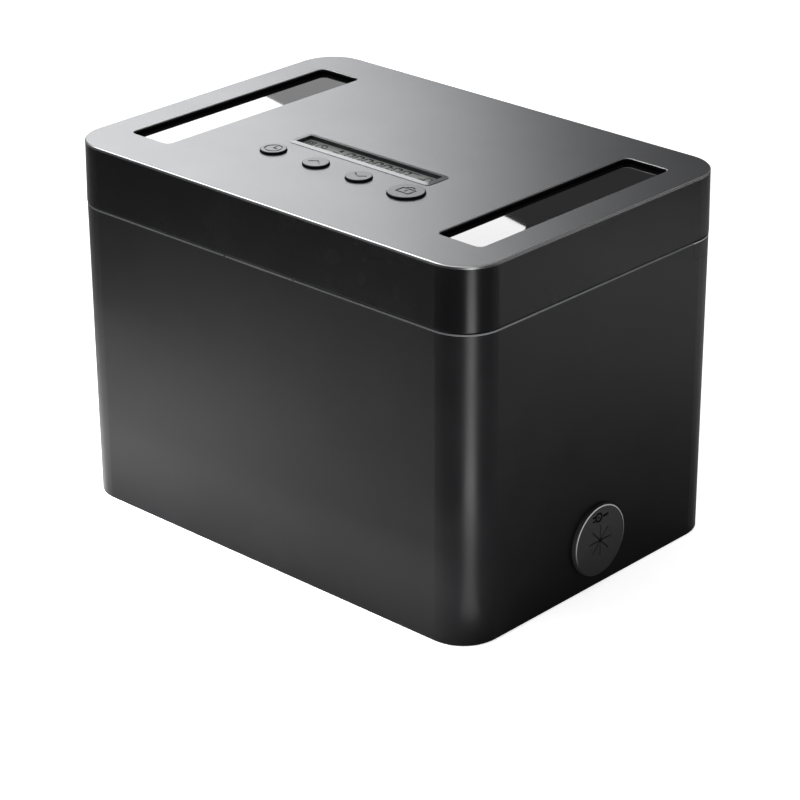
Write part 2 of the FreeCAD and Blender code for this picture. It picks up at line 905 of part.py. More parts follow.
def door_slab(margin, z_low, z_high):
    """The battery door's outline, with its screw ear, made larger by a margin."""
    half = battery_half + door_lap + margin
    back = battery_back + door_lap + margin
    plate = block(-half, half, battery_front - door_lap - margin, back, z_low, z_high)
    ear_half = door_ear_width / 2 + margin
    ear = block(-ear_half, ear_half, back - 1, back + door_ear_reach, z_low, z_high)
    return joined([plate, ear])


def door_screw_y():
    """Where the battery door's screw stands."""
    return battery_back + door_lap + door_screw_setback


def inner_cover():
    """The lid's lining: it closes the lid from below and holds the battery and the lock."""
    plate = between(lid_outline, cover_bottom, cover_top, lid_wall + 2 * side_gap)
    parts = [plate]
    for side in SIDES.values():
        parts.append(window_slab(side, window_ledge - well_skirt_step - well_skirt_wall,
                                 cover_bottom, well_bottom - side_gap))
    box_half = battery_half + battery_wall
    parts.append(block(-box_half, box_half, battery_front - battery_wall,
                       battery_back + battery_wall, cover_bottom, battery_roof + battery_wall))
    for x, y in lock_screw_places():
        parts.append(boss(x, y, cover_bottom, cover_top + cover_rise * 2))
    parts.append(boss(0, door_screw_y(), cover_bottom, cover_bottom + door_screw_length + 1))
    motor_x = gearbox_offset + gearbox_length
    rib_low = pinion_z + gearbox_height / 2 + running_gap
    parts.append(block(motor_x + cradle_inset, motor_x + motor_length - cradle_inset,
                       pinion_place - gearbox_depth / 4, pinion_place + gearbox_depth / 4,
                       rib_low, cover_bottom + 1))
    cover = joined(parts)
    cuts = []
    for side in SIDES.values():
        cuts.append(window_slab(side, window_ledge - well_skirt_step, cover_bottom - 1,
                                plate_top))
    cuts.append(block(-battery_half, battery_half, battery_front, battery_back,
                      cover_bottom - 1, battery_roof))
    cuts.append(door_slab(side_gap, cover_bottom - 1, cover_bottom + door_thickness))
    for x, y in cover_screw_places():
        cuts.append(screw_hole(x, y, cover_bottom - 1, cover_top + 1))
    for x, y in lock_screw_places():
        cuts.append(screw_hole(x, y, cover_bottom - 1, cover_top + cover_rise * 2 - 1))
    cuts.append(screw_hole(0, door_screw_y(), cover_bottom, cover_bottom + door_screw_length))
    hole_x = lead_end()[0]
    cuts.append(block(hole_x - lead_hole / 2, hole_x + lead_hole / 2,
                      pinion_place - lead_spacing / 2 - lead_hole / 2,
                      pinion_place + lead_spacing / 2 + lead_hole / 2,
                      cover_bottom - 1, cover_top + 1))
    for x in terminal_places():
        half = tab_width / 2 + side_gap
        cuts.append(block(x - half, x + half, battery_front - battery_wall - 1,
                          battery_front + 1, tab_z() - side_gap,
                          tab_z() + contact_thickness + side_gap))
    return cover.cut(cuts)


def cover_screws():
    """The screws that hold the inner cover."""
    reach = cover_thickness + cover_screw_length - fit_gap
    places = cover_screw_places()
    return Part.makeCompound([screw(x, y, cover_bottom, reach, -1) for x, y in places])


def cell_places():
    """Where the cells lie along the length."""
    middle = (cell_count - 1) / 2
    return [cell_pitch * (index - middle) for index in range(cell_count)]


def terminal_places():
    """The two outer cells, whose contacts lead to the board."""
    places = cell_places()
    return [places[0], places[-1]]


def cell(index):
    """One battery cell. Every second one is turned round."""
    x = cell_places()[index]
    barrel_length = cell_length - cell_nub_length
    start = battery_front + contact_thickness
    barrel = rod(cell_radius, point(x, start + cell_nub_length, cell_z), BACK, barrel_length)
    nub = rod(cell_nub_radius, point(x, start, cell_z), BACK, cell_nub_length * 2)
    whole = joined([barrel, nub])
    if index % 2:
        middle = (battery_front + battery_back) / 2
        whole = whole.mirror(point(0, middle, 0), BACK)
    return whole


def battery_springs():
    """The cone springs at the flat ends of the cells."""
    springs = []
    for index, x in enumerate(cell_places()):
        front = battery_front + contact_thickness
        back = battery_back - contact_thickness
        base_y, direction = (back, BACK * -1) if index % 2 == 0 else (front, BACK)
        springs.append(Part.makeCone(spring_radius, spring_radius / 2, spring_length,
                                     point(x, base_y, cell_z), direction))
    return Part.makeCompound(springs)


def tab_z():
    """The height at which the terminal tabs pass through the battery box's front wall."""
    return board_bottom - tab_height


def contact_plate(x_low, x_high, y):
    """A contact that reaches across one or two cells."""
    half = contact_width / 2
    return block(x_low - half, x_high + half, y, y + contact_thickness,
                 cell_z - half, cell_z + half)


def battery_contacts():
    """The contacts at both ends of the cells. Two have tabs up to the control board."""
    places = cell_places()
    back = battery_back - contact_thickness
    contacts = [contact_plate(places[1], places[2], battery_front)]
    contacts.append(contact_plate(places[0], places[1], back))
    contacts.append(contact_plate(places[2], places[3], back))
    for x in terminal_places():
        half = tab_width / 2
        plate = contact_plate(x, x, battery_front)
        low = tab_z()
        front = battery_front - battery_wall - tab_setback / 2
        arm = block(x - half, x + half, front, battery_front + contact_thickness,
                    low, low + contact_thickness)
        leg = block(x - half, x + half, front, front + contact_thickness, low, board_bottom)
        contacts.append(joined([plate, arm, leg]))
    return Part.makeCompound(contacts)


def battery_door():
    """The door over the cells, with ribs that they lie on."""
    plate = door_slab(0, cover_bottom, cover_bottom + door_thickness)
    parts = [plate]
    top = cell_z - cell_radius - slide_gap
    for share in (1 / 4, 3 / 4):
        middle = battery_front + share * (battery_back - battery_front)
        parts.append(block(-battery_half + side_gap, battery_half - side_gap,
                           middle - door_rib_width / 2, middle + door_rib_width / 2,
                           cover_bottom, top))
    door = joined(parts)
    return door.cut(screw_hole(0, door_screw_y(), cover_bottom - 1, cover_top))


def door_screw():
    """The screw of the battery door."""
    reach = door_screw_length - running_gap
    return screw(0, door_screw_y(), cover_bottom, reach, -1)


def lock_housing():
    """The housing under the lid's front edge, with the bolt's guides and the motor's cradle."""
    body = block(lock_left, lock_right, lock_front, lock_back, lock_bottom, cover_bottom)
    ears = block(lock_left - lock_ear, lock_right + lock_ear, lock_front + lock_wall,
                 lock_back, cover_bottom - lock_ear_thickness, cover_bottom)
    hollow = block(lock_left + lock_wall, lock_right - lock_wall, lock_front + lock_wall,
                   lock_back - lock_wall, lock_floor, cover_bottom + 1)
    parts = [joined([body, ears]).cut(hollow)]
    bolt_half = bolt_width / 2 + slide_gap
    for side in SIDES.values():
        rail = sorted((side * bolt_half, side * (bolt_half + guide_width)))
        parts.append(block(*rail, lock_front + 1, lock_back - lock_wall, lock_floor - 1,
                           lock_floor + guide_height))
    motor_x = gearbox_offset + gearbox_length
    parts.append(block(motor_x, motor_x + motor_length - cradle_inset,
                       pinion_place - gearbox_depth / 4, pinion_place + gearbox_depth / 4,
                       lock_floor - 1, pinion_z - gearbox_height / 2))
    gate = block(-bolt_half, bolt_half, lock_front - 1, lock_front + lock_wall + 1,
                 lock_floor, bolt_top + slide_gap)
    cuts = [gate, shaft(running_gap, lock_left - 1, 0)]
    for x, y in lock_screw_places():
        cuts.append(screw_hole(x, y, cover_bottom - lock_ear_thickness - 1, cover_bottom + 1))
    return joined(parts).cut(cuts)


def lock_screws():
    """The screws that hold the lock housing."""
    seat = cover_bottom - lock_ear_thickness
    reach = lock_ear_thickness + cover_thickness + cover_rise * 2 - 1 - fit_gap
    return Part.makeCompound([screw(x, y, seat, reach, -1) for x, y in lock_screw_places()])


def shaft(gap, x_low, x_high):
    """A round bar on the pinion's axis, wider than the shaft by a gap."""
    return rod(shaft_radius + gap, point(x_low, pinion_place, pinion_z), ALONG, x_high - x_low)


def motor_shaft():
    """The gearbox's output shaft. Its far end runs in the housing's wall."""
    low = lock_left + lock_wall / 2
    return shaft(0, low, gearbox_offset + gearbox_bore_depth - side_gap)


def gearbox():
    """The reduction gearbox on the motor's end."""
    body = block(gearbox_offset, gearbox_offset + gearbox_length,
                 pinion_place - gearbox_depth / 2, pinion_place + gearbox_depth / 2,
                 pinion_z - gearbox_height / 2, pinion_z + gearbox_height / 2)
    return body.cut(shaft(running_gap, gearbox_offset - 1, gearbox_offset + gearbox_bore_depth))


def lock_motor():
    """The small motor: a round can with two flats."""
    start = gearbox_offset + gearbox_length
    can = rod(gearbox_depth / 2, point(start, pinion_place, pinion_z), ALONG, motor_length)
    flats = block(start, start + motor_length, pinion_place - gearbox_depth,
                  pinion_place + gearbox_depth, pinion_z - gearbox_height / 2,
                  pinion_z + gearbox_height / 2)
    return can.common(flats)


def lead_end():
    """Where a motor lead turns up, as its place along the length and its lowest height."""
    motor_end = gearbox_offset + gearbox_length + motor_length
    return motor_end + lead_run + lead_bend, pinion_z + lead_rise


def motor_leads():
    """Two insulated wires from the motor's back up to the control board."""
    motor_end = gearbox_offset + gearbox_length + motor_length
    turn_x, low = lead_end()
    leads = []
    for side in SIDES.values():
        y = pinion_place + side * lead_spacing / 2
        start = point(motor_end, y, low)
        bend_start = point(motor_end + lead_run, y, low)
        turn = math.radians(45)
        middle = point(motor_end + lead_run + lead_bend * math.sin(turn), y,
                       low + lead_bend * (1 - math.cos(turn)))
        bend_end = point(turn_x, y, low + lead_bend)
        end = point(turn_x, y, board_bottom)
        path = Part.Wire([Part.LineSegment(start, bend_start).toShape(),
                          Part.Arc(bend_start, middle, bend_end).toShape(),
                          Part.LineSegment(bend_end, end).toShape()])
        section = Part.Wire(Part.makeCircle(lead_radius, start, ALONG))
        leads.append(path.makePipeShell([section], True, False))
    return Part.makeCompound(leads)


def involute(angle):
    """The involute function of an angle."""
    return math.tan(angle) - angle


def drive_pinion():
    """The spur pinion that moves the bolt. One tooth points straight down."""
    angle = math.radians(pressure_angle)
    base = pitch_radius * math.cos(angle)
    tip = pitch_radius + tooth_addendum
    root = pitch_radius - tooth_dedendum
    half_pitch = (tooth_pitch / 2 - backlash / 2) / (2 * pitch_radius)
    steps = 6
    flank = [(root, half_pitch + involute(angle))]
    for step in range(steps + 1):
        radius = base + (tip - base) * step / steps
        lean = involute(math.acos(base / radius))
        flank.append((radius, half_pitch + involute(angle) - lean))
    points = []
    for tooth in range(pinion_teeth):
        centre = 2 * math.pi * tooth / pinion_teeth
        sides = [(radius, -half) for radius, half in flank]
        sides += [(radius, half) for radius, half in reversed(flank)]
        for radius, turn in sides:
            heading = centre + turn
            points.append(point(-pinion_width / 2, pinion_place + radius * math.sin(heading),
                                pinion_z - radius * math.cos(heading)))
    profile = Part.Face(Part.makePolygon(points + points[:1]))
    gear = profile.extrude(ALONG * pinion_width)
    return gear.cut(shaft(press_gap, -pinion_width, pinion_width))


def latch_bolt():
    """The bolt with its rack. A gap of the rack lies under the pinion's lowest tooth."""
    half = bolt_width / 2
    tip = lock_front + bolt_tip_setback
    lean = math.tan(math.radians(pressure_angle))
    tooth_half = (tooth_pitch / 2 - backlash / 2) / 2
    rack_start = pinion_place - tooth_pitch * rack_teeth_front
    rack_end = pinion_place + tooth_pitch * rack_teeth_back
    tail = rack_end + bolt_tail
    body = block(-half, half, tip, tail, bolt_bottom, bolt_top)
    nose = [edge for edge in body.Edges if edge.BoundBox.YMax < tip + 1e-4]
    body = body.makeChamfer(bolt_nose, nose)
    rack_half = pinion_width / 2 + side_gap
    trench = block(-rack_half, rack_half, rack_start, rack_end,
                   bolt_top - tooth_dedendum, bolt_top + 1)
    teeth = []
    for index in range(-rack_teeth_front, rack_teeth_back):
        y = pinion_place + tooth_pitch * (index + 0.5)
        low_half = tooth_half + tooth_dedendum * lean
        top_half = tooth_half - tooth_addendum * lean
        low = bolt_top - tooth_dedendum
        top = bolt_top + tooth_addendum
        corners = [point(-rack_half, y - low_half, low), point(-rack_half, y + low_half, low),
                   point(-rack_half, y + top_half, top), point(-rack_half, y - top_half, top)]
        face = Part.Face(Part.makePolygon(corners + corners[:1]))
        teeth.append(face.extrude(ALONG * (2 * rack_half)))
    return joined([body.cut(trench)] + teeth)


def mirrored(shape):
    """The left-hand copy of a right-hand piece."""
    return shape.mirror(point(0, 0, 0), ALONG)


def all_nodes():
    """Every piece of the box, by name."""
    nodes = {
        "body_shell": body_shell(),
        "cable_grommet": cable_grommet(),
        "front_catch": front_catch(),
        "catch_screws": catch_screws(),
        "hinge_cap_right": hinge_cap(),
        "hinge_cap_left": mirrored(hinge_cap()),
        "hinge_pin_right": hinge_pin(),
        "hinge_pin_left": mirrored(hinge_pin()),
        "lid_shell": lid_shell(),
        "top_plate": top_plate(),
        "display_bezel": display_bezel(),
        "display_panel": display_part(panel_bottom, panel_top),
        "display_backlight": display_part(backlight_bottom, panel_bottom),
        "display_holder": display_part(board_top, backlight_bottom),
        "control_board": control_board(),
        "board_screws": board_screws(),
        "buzzer": buzzer(),
        "microcontroller": microcontroller(),
        "inner_cover": inner_cover(),
        "cover_screws": cover_screws(),
        "battery_springs": battery_springs(),
        "battery_contacts": battery_contacts(),
        "battery_door": battery_door(),
        "door_screw": door_screw(),
        "lock_housing": lock_housing(),
        "lock_screws": lock_screws(),
        "gearbox": gearbox(),
        "lock_motor": lock_motor(),
        "motor_leads": motor_leads(),
        "motor_shaft": motor_shaft(),
        "drive_pinion": drive_pinion(),
        "latch_bolt": latch_bolt(),
    }
    for corner in foot_corners():
        nodes["foot_" + corner[0]] = foot(corner)
    for name, side in SIDES.items():
        nodes["window_" + name] = window(side)
        nodes["window_frame_" + name] = window_frame(side)
    for index in range(cell_count):
        nodes["battery_cell_" + str(index + 1)] = cell(index)
    for name, (x, radius) in BUTTONS.items():
        nodes[name + "_button"] = button(name, x, radius)
        nodes[name + "_plunger"] = plunger(x)
        nodes[name + "_switch"] = push_switch(x)
    return nodes


os.makedirs("parts", exist_ok=True)
for node_name, node_shape in all_nodes().items():
    node_shape.exportStep("parts/" + node_name + ".step")
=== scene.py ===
"""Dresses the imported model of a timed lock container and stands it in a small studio.

Every length in the classes is in millimetres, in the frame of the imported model, and is
turned to metres only where a mesh, a lamp or the camera is made.
"""

import logging
import math
from dataclasses import dataclass, field
from enum import Enum

import bpy
import numpy as np
from mathutils import Matrix, Vector


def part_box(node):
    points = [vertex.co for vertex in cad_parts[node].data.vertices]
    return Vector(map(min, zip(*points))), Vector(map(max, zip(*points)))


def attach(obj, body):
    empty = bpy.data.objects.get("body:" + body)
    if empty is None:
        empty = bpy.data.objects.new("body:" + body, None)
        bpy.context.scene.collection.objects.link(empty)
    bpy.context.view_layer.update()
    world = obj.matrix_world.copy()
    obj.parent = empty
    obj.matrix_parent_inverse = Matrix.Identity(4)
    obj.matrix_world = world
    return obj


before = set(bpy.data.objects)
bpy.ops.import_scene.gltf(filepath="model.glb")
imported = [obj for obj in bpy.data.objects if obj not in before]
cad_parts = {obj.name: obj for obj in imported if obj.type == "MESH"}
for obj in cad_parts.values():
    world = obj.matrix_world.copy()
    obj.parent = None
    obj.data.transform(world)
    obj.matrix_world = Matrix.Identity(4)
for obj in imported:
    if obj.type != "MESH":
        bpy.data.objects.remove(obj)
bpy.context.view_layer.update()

Tree = bpy.types.NodeTree
Socket = bpy.types.NodeSocket
Material = bpy.types.Material
Pair = tuple[float, float]

LOG = logging.getLogger("lock_container")
MM = 0.001

NOISE_MIDDLE = (0.3, 0.7)
WAVES_PER_UNIT = 3.18
COATING_IOR = 1.5
CIRCLE_POINTS = 24
STRIP_EDGE = (0.853, -0.521, 0)
# Heights of the pale painted highlight line along the case's rim, just under the lid seam.
RIM_HIGHLIGHT_MM = (126.5, 126.96)


class Body(Enum):
    """The moving bodies that a new piece can ride on."""

    CASE = "case"
    LID = "lid"


class Segment(Enum):
    """The seven bars of a digit, as (start, end) corners in units of its width and height."""

    TOP = ((0, 2), (1, 2))
    MIDDLE = ((0, 1), (1, 1))
    BOTTOM = ((0, 0), (1, 0))
    UPPER_LEFT = ((0, 1), (0, 2))
    UPPER_RIGHT = ((1, 1), (1, 2))
    LOWER_LEFT = ((0, 0), (0, 1))
    LOWER_RIGHT = ((1, 0), (1, 1))


# ---------------------------------------------------------------- colour and node helpers


def linear(code: str) -> tuple[float, float, float, float]:
    """Turns an sRGB hex colour into linear light.

    Args:
        code: Six hex digits, such as "b4b6b9".

    Returns:
        Red, green, blue and an alpha of 1, as Blender's colour sockets take them.
    """
    shares = [int(code[i : i + 2], 16) / 255 for i in (0, 2, 4)]
    light = [s / 12.92 if s <= 0.04045 else ((s + 0.055) / 1.055) ** 2.4 for s in shares]
    return (light[0], light[1], light[2], 1.0)


def add_node(
    tree: Tree,
    kind: str,
    settings: dict[str, object] | None = None,
    inputs: dict[str | int, object] | None = None,
) -> bpy.types.Node:
    """Adds one shader node, sets it up and links it.

    Args:
        tree: The node tree that takes the node.
        kind: Blender's name of the node type.
        settings: Values for the node's own properties.
        inputs: For each input socket a constant, or the output socket that feeds it.

    Returns:
        The new node.
    """
    node = tree.nodes.new(kind)
    for name, value in (settings or {}).items():
        setattr(node, name, value)
    for name, value in (inputs or {}).items():
        if isinstance(value, Socket):
            tree.links.new(value, node.inputs[name])
        else:
            node.inputs[name].default_value = value
    return node


def new_material(name: str) -> tuple[Material, Tree]:
    """Makes a material with an empty node tree.

    Args:
        name: The material's name.

    Returns:
        The material and its tree.
    """
    material = bpy.data.materials.new(name)
    material.use_nodes = True
    material.node_tree.nodes.clear()
    return material, material.node_tree


def finish_surface(tree: Tree, shader: bpy.types.Node) -> None:
    """Links a shader node to the material's surface."""
    add_node(tree, "ShaderNodeOutputMaterial", inputs={"Surface": shader.outputs[0]})


def principled(material: Material, inputs: dict[str | int, object]) -> Material:
    """Gives a material a Principled shader as its surface.

    Args:
        material: The material, with its node tree.
        inputs: The shader's inputs, as add_node takes them.

    Returns:
        The same material.
    """
    tree = material.node_tree
    finish_surface(tree, add_node(tree, "ShaderNodeBsdfPrincipled", inputs=inputs))
    return material


def object_noise(
    tree: Tree, size_mm: float, detail: float = 2.0, stretch: tuple = (1, 1, 1)
) -> Socket:
    """Adds noise in object space whose features have a real size.

    Args:
        tree: The node tree.
        size_mm: The size of one feature in millimetres.
        detail: How many finer layers the noise has.
        stretch: How much shorter the features are along X, Y and Z.

    Returns:
        The noise's value socket, which is about 0.5 on average.
    """
    place = add_node(tree, "ShaderNodeTexCoord")
    scaled = add_node(
        tree,
        "ShaderNodeMapping",
        inputs={"Vector": place.outputs["Object"], "Scale": tuple(float(s) for s in stretch)},
    )
    noise = add_node(
        tree,
        "ShaderNodeTexNoise",
        inputs={"Vector": scaled.outputs[0], "Scale": 1 / (size_mm * MM), "Detail": detail},
    )
    return noise.outputs["Fac"]


def spread(tree: Tree, value: Socket, low: float, high: float) -> Socket:
    """Maps the useful middle of a noise to a range.

    Args:
        tree: The node tree.
        value: The noise's value socket.
        low: The result at the foot of NOISE_MIDDLE and below it.
        high: The result at its top and above it.

    Returns:
        The mapped value's socket.
    """
    foot, top = NOISE_MIDDLE
    mapped = add_node(
        tree,
        "ShaderNodeMapRange",
        inputs={"Value": value, "From Min": foot, "From Max": top, "To Min": low, "To Max": high},
    )
    return mapped.outputs[0]


def swayed(tree: Tree, value: Socket, level: float, sway: Pair) -> Socket:
    """Lets a noise move a level, from level plus sway's first to level plus its second."""
    return spread(tree, value, level + sway[0], level + sway[1])


def mixed(tree: Tree, share: Socket, low: object, high: object) -> Socket:
    """Mixes two linear colours, or two colour sockets, by a share from 0 to 1."""
    mix = add_node(tree, "ShaderNodeMix", {"data_type": "RGBA"}, {0: share, 6: low, 7: high})
    return mix.outputs[2]


def tinted(tree: Tree, share: Socket, low: str, high: str) -> Socket:
    """Mixes two sRGB hex colours by a share from 0 to 1."""
    return mixed(tree, share, linear(low), linear(high))


def beyond(tree: Tree, value: Socket, level_mm: float, blend_mm: float = 0.05) -> Socket:
    """A share that turns from 0 to 1 where a length passes a level given in millimetres."""
    mapped = add_node(
        tree,
        "ShaderNodeMapRange",
        inputs={"Value": value, "From Min": (level_mm - blend_mm) * MM, "From Max": level_mm * MM},
    )
    return mapped.outputs[0]


def between(tree: Tree, value: Socket, levels_mm: Pair) -> Socket:
    """A share that is 1 between two levels given in millimetres, and 0 outside them."""
    low, high = (beyond(tree, value, level) for level in levels_mm)
    return add_node(tree, "ShaderNodeMath", {"operation": "SUBTRACT"}, {0: low, 1: high}).outputs[0]


def object_axes(tree: Tree) -> bpy.types.Node:
    """Adds a node with the place on the piece, split into its X, Y and Z outputs."""
    place = add_node(tree, "ShaderNodeTexCoord")
    return add_node(tree, "ShaderNodeSeparateXYZ", inputs={0: place.outputs["Object"]})


def bumped(tree: Tree, height: Socket, depth_mm: float) -> Socket:
    """Adds a bump whose height of 1 has a real depth in millimetres."""
    inputs = {"Height": height, "Distance": depth_mm * MM, "Strength": 1.0}
    return add_node(tree, "ShaderNodeBump", inputs=inputs).outputs[0]


def painted_nodes(material: Material, *names: str) -> None:
    """Gives carried-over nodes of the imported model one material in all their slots.

    Args:
        material: The finish.
        names: The nodes' names.
    """
    for name in names:
        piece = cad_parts[name]
        if not piece.material_slots:
            piece.data.materials.append(material)
        for place in piece.material_slots:
            place.material = material
        LOG.info("%s is finished in %s", name, material.name)


# ---------------------------------------------------------------- finishes


@dataclass(frozen=True)
class MouldedPlastic:
    """Injection-moulded ABS or acetal out of a spark-eroded mould.

    The mould's fine pits make the surface satin: highlights are broad and soft, with a
    slight sparkle where the pits catch the light.
    """

    name: str
    dark: str
    light: str
    roughness: float = 0.5
    grain_mm: float = 0.45
    depth_mm: float = 0.012
    specular: float = 0.5
    ior: float = 1.53
    cloud_mm: float = 22.0
    sway: Pair = (-0.03, 0.03)
    # The colour of the pale painted highlight along the rim, and the two heights between which it
    # is painted.
    rim: str = "8c8d8f"
    rim_highlight_mm: Pair | None = None

    def build(self) -> Material:
        """Makes the material. Between the rim heights the rim is coloured pale, a painted highlight
        where its rounded edge would catch the light.
        """
        material, tree = new_material(self.name)
        grain = object_noise(tree, self.grain_mm)
        cloud = object_noise(tree, self.cloud_mm)
        colour = tinted(tree, spread(tree, cloud, 0, 1), self.dark, self.light)
        # Painted highlight: between the two heights the rim is coloured pale.
        if self.rim_highlight_mm is not None:
            share = between(tree, object_axes(tree).outputs["Z"], self.rim_highlight_mm)
            colour = mixed(tree, share, colour, linear(self.rim))
        inputs = {
            "Base Color": colour,
            "Roughness": swayed(tree, cloud, self.roughness, self.sway),
            "IOR": self.ior,
            "Specular IOR Level": self.specular,
            "Normal": bumped(tree, grain, self.depth_mm),
        }
        return principled(material, inputs)


@dataclass(frozen=True)
class SatinAluminium:
    """Bead-blasted and anodised aluminium sheet.

    The blasting leaves a very fine even grain, so the sheet shows no sharp reflections,
    only a slow gradient from the lamps that it faces.
    """

    name: str = "satin_anodised_aluminium"
    dark: str = "5c5d5f"
    light: str = "606163"
    roughness: float = 0.38
    grain_mm: float = 0.3
    depth_mm: float = 0.004
    cloud_mm: float = 30.0
    sway: Pair = (-0.03, 0.03)
    # Colours of the painted highlight on the cut edge and of the painted shade on the side below
    # it, and the heights that bound them.
    edge_highlight: str = "f2f2f3"
    side_shade: str = "070708"
    highlight_band_mm: Pair | None = None

    def build(self) -> Material:
        """Makes the material.

        Where a sheet has a cut edge, the edge between its two heights is bare metal coloured pale
        as a painted highlight, and below it the sheet's side is coloured near black as painted
        shade.
        """
        material, tree = new_material(self.name)
        grain = object_noise(tree, self.grain_mm)
        cloud = object_noise(tree, self.cloud_mm)
        colour = tinted(tree, spread(tree, cloud, 0, 1), self.dark, self.light)
        metallic: Socket | float = 1.0
        # Painted highlight on the cut edge, painted shade on the sheet's side below it.
        if self.highlight_band_mm is not None:
            height = object_axes(tree).outputs["Z"]
            metallic = beyond(tree, height, self.highlight_band_mm[0])
            face = beyond(tree, height, self.highlight_band_mm[1])
            colour = mixed(tree, face, linear(self.edge_highlight), colour)
            colour = mixed(tree, metallic, linear(self.side_shade), colour)
        inputs = {
            "Base Color": colour,
            "Metallic": metallic,
            "Roughness": swayed(tree, grain, self.roughness, self.sway),
            "Normal": bumped(tree, grain, self.depth_mm),
        }
        return principled(material, inputs)


@dataclass(frozen=True)
class EngravedButton:
    """Satin metallised push buttons with engraved marks.

    Below the top face the surface turns near black as painted shade: in the engraved grooves, and
    down the button's wall.
    """

    name: str = "satin_metallised_button"
    dark: str = "545557"
    light: str = "5a5b5d"
    # Colour of the painted shade in the grooves and down the button's wall.
    painted_shade: str = "0c0c0d"
    roughness: float = 0.4
    top_mm: float = 154.2
    groove_mm: float = 0.06
    edge_mm: float = 0.05
    grain_mm: float = 0.3
    depth_mm: float = 0.003
    sway: Pair = (-0.03, 0.03)

    def build(self) -> Material:
        """Makes the material."""
        material, tree = new_material(self.name)
        grain = object_noise(tree, self.grain_mm)
        height = object_axes(tree).outputs["Z"]
        # Painted shade: below the top face the colour turns near black and not metallic.
        share = beyond(tree, height, self.top_mm - self.groove_mm, self.edge_mm)
        metal = tinted(tree, spread(tree, grain, 0, 1), self.dark, self.light)
        colour = mixed(tree, share, linear(self.painted_shade), metal)
        inputs = {
            "Base Color": colour,
            "Metallic": share,
            "Roughness": swayed(tree, grain, self.roughness, self.sway),
            "Normal": bumped(tree, grain, self.depth_mm),
        }
        return principled(material, inputs)


@dataclass(frozen=True)
class SmokedAcrylic:
    """Cast acrylic sheet with a grey dye, polished on both faces.

    It mirrors the room sharply and lets a little light through, so the inside of the
    box shows only faintly.
    """

    name: str = "smoked_cast_acrylic"
    tint: str = "1d1e20"
    body: str = "0b0b0c"
    roughness: float = 0.015
    ior: float = 1.49
    clear: float = 0.45
    wave_mm: float = 45.0
    wave_depth_mm: float = 0.01
    dye_mm: float = 60.0

    def build(self) -> Material:
        """Makes the material. The long wave is the slight unevenness of cast sheet."""
        material, tree = new_material(self.name)
        wave = object_noise(tree, self.wave_mm, detail=0.0)
        cloud = object_noise(tree, self.dye_mm, detail=1.0)
        dye = tinted(tree, spread(tree, cloud, 0, 1), self.body, self.tint)
        inputs = {
            "Base Color": dye,
            "Roughness": self.roughness,
            "IOR": self.ior,
            "Transmission Weight": self.clear,
            "Normal": bumped(tree, wave, self.wave_depth_mm),
        }
        return principled(material, inputs)


@dataclass(frozen=True)
class DisplayGlass:
    """A reflective liquid-crystal cell under a matt polariser film.

    The film scatters the light a little, and the cell's unlit columns show as a very
    faint fine grid.
    """

    name: str = "liquid_crystal_cell"
    dark: str = "a2a4a2"
    light: str = "acaeac"
    roughness: float = 0.45
    specular: float = 0.04
    pitch_mm: float = 0.6
    grain_mm: float = 0.25
    depth_mm: float = 0.002

    def build(self) -> Material:
        """Makes the material. The wave's scale is 1 over the pitch times WAVES_PER_UNIT."""
        material, tree = new_material(self.name)
        place = add_node(tree, "ShaderNodeTexCoord")
        columns = add_node(
            tree,
            "ShaderNodeTexWave",
            {"wave_type": "BANDS", "bands_direction": "X"},
            {"Vector": place.outputs["Object"], "Scale": 1 / (self.pitch_mm * MM * WAVES_PER_UNIT)},
        )
        inputs = {
            "Base Color": tinted(tree, columns.outputs["Fac"], self.dark, self.light),
            "Roughness": self.roughness,
            "IOR": COATING_IOR,
            "Specular IOR Level": self.specular,
            "Normal": bumped(tree, object_noise(tree, self.grain_mm), self.depth_mm),
        }
        return principled(material, inputs)


@dataclass(frozen=True)
class PlatedMetal:
    """Steel with a bright plating, or turned brass.

    Barrel plating leaves small cloudy differences in gloss, and fine lines stay from
    drawing the wire or turning the bar.
    """

    name: str
    dark: str
    light: str
    roughness: float = 0.28
    cloud_mm: float = 1.6
    line_mm: float = 0.12
    line_stretch: tuple = (0.15, 0.15, 1)
    depth_mm: float = 0.003
    sway: Pair = (-0.07, 0.09)

    def build(self) -> Material:
        """Makes the material."""
        material, tree = new_material(self.name)
        cloud = object_noise(tree, self.cloud_mm, detail=3.0)
        lines = object_noise(tree, self.line_mm, 1.0, self.line_stretch)
        inputs = {
            "Base Color": tinted(tree, spread(tree, cloud, 0, 1), self.dark, self.light),
            "Metallic": 1.0,
            "Roughness": swayed(tree, cloud, self.roughness, self.sway),
            "Normal": bumped(tree, lines, self.depth_mm),
        }
        return principled(material, inputs)


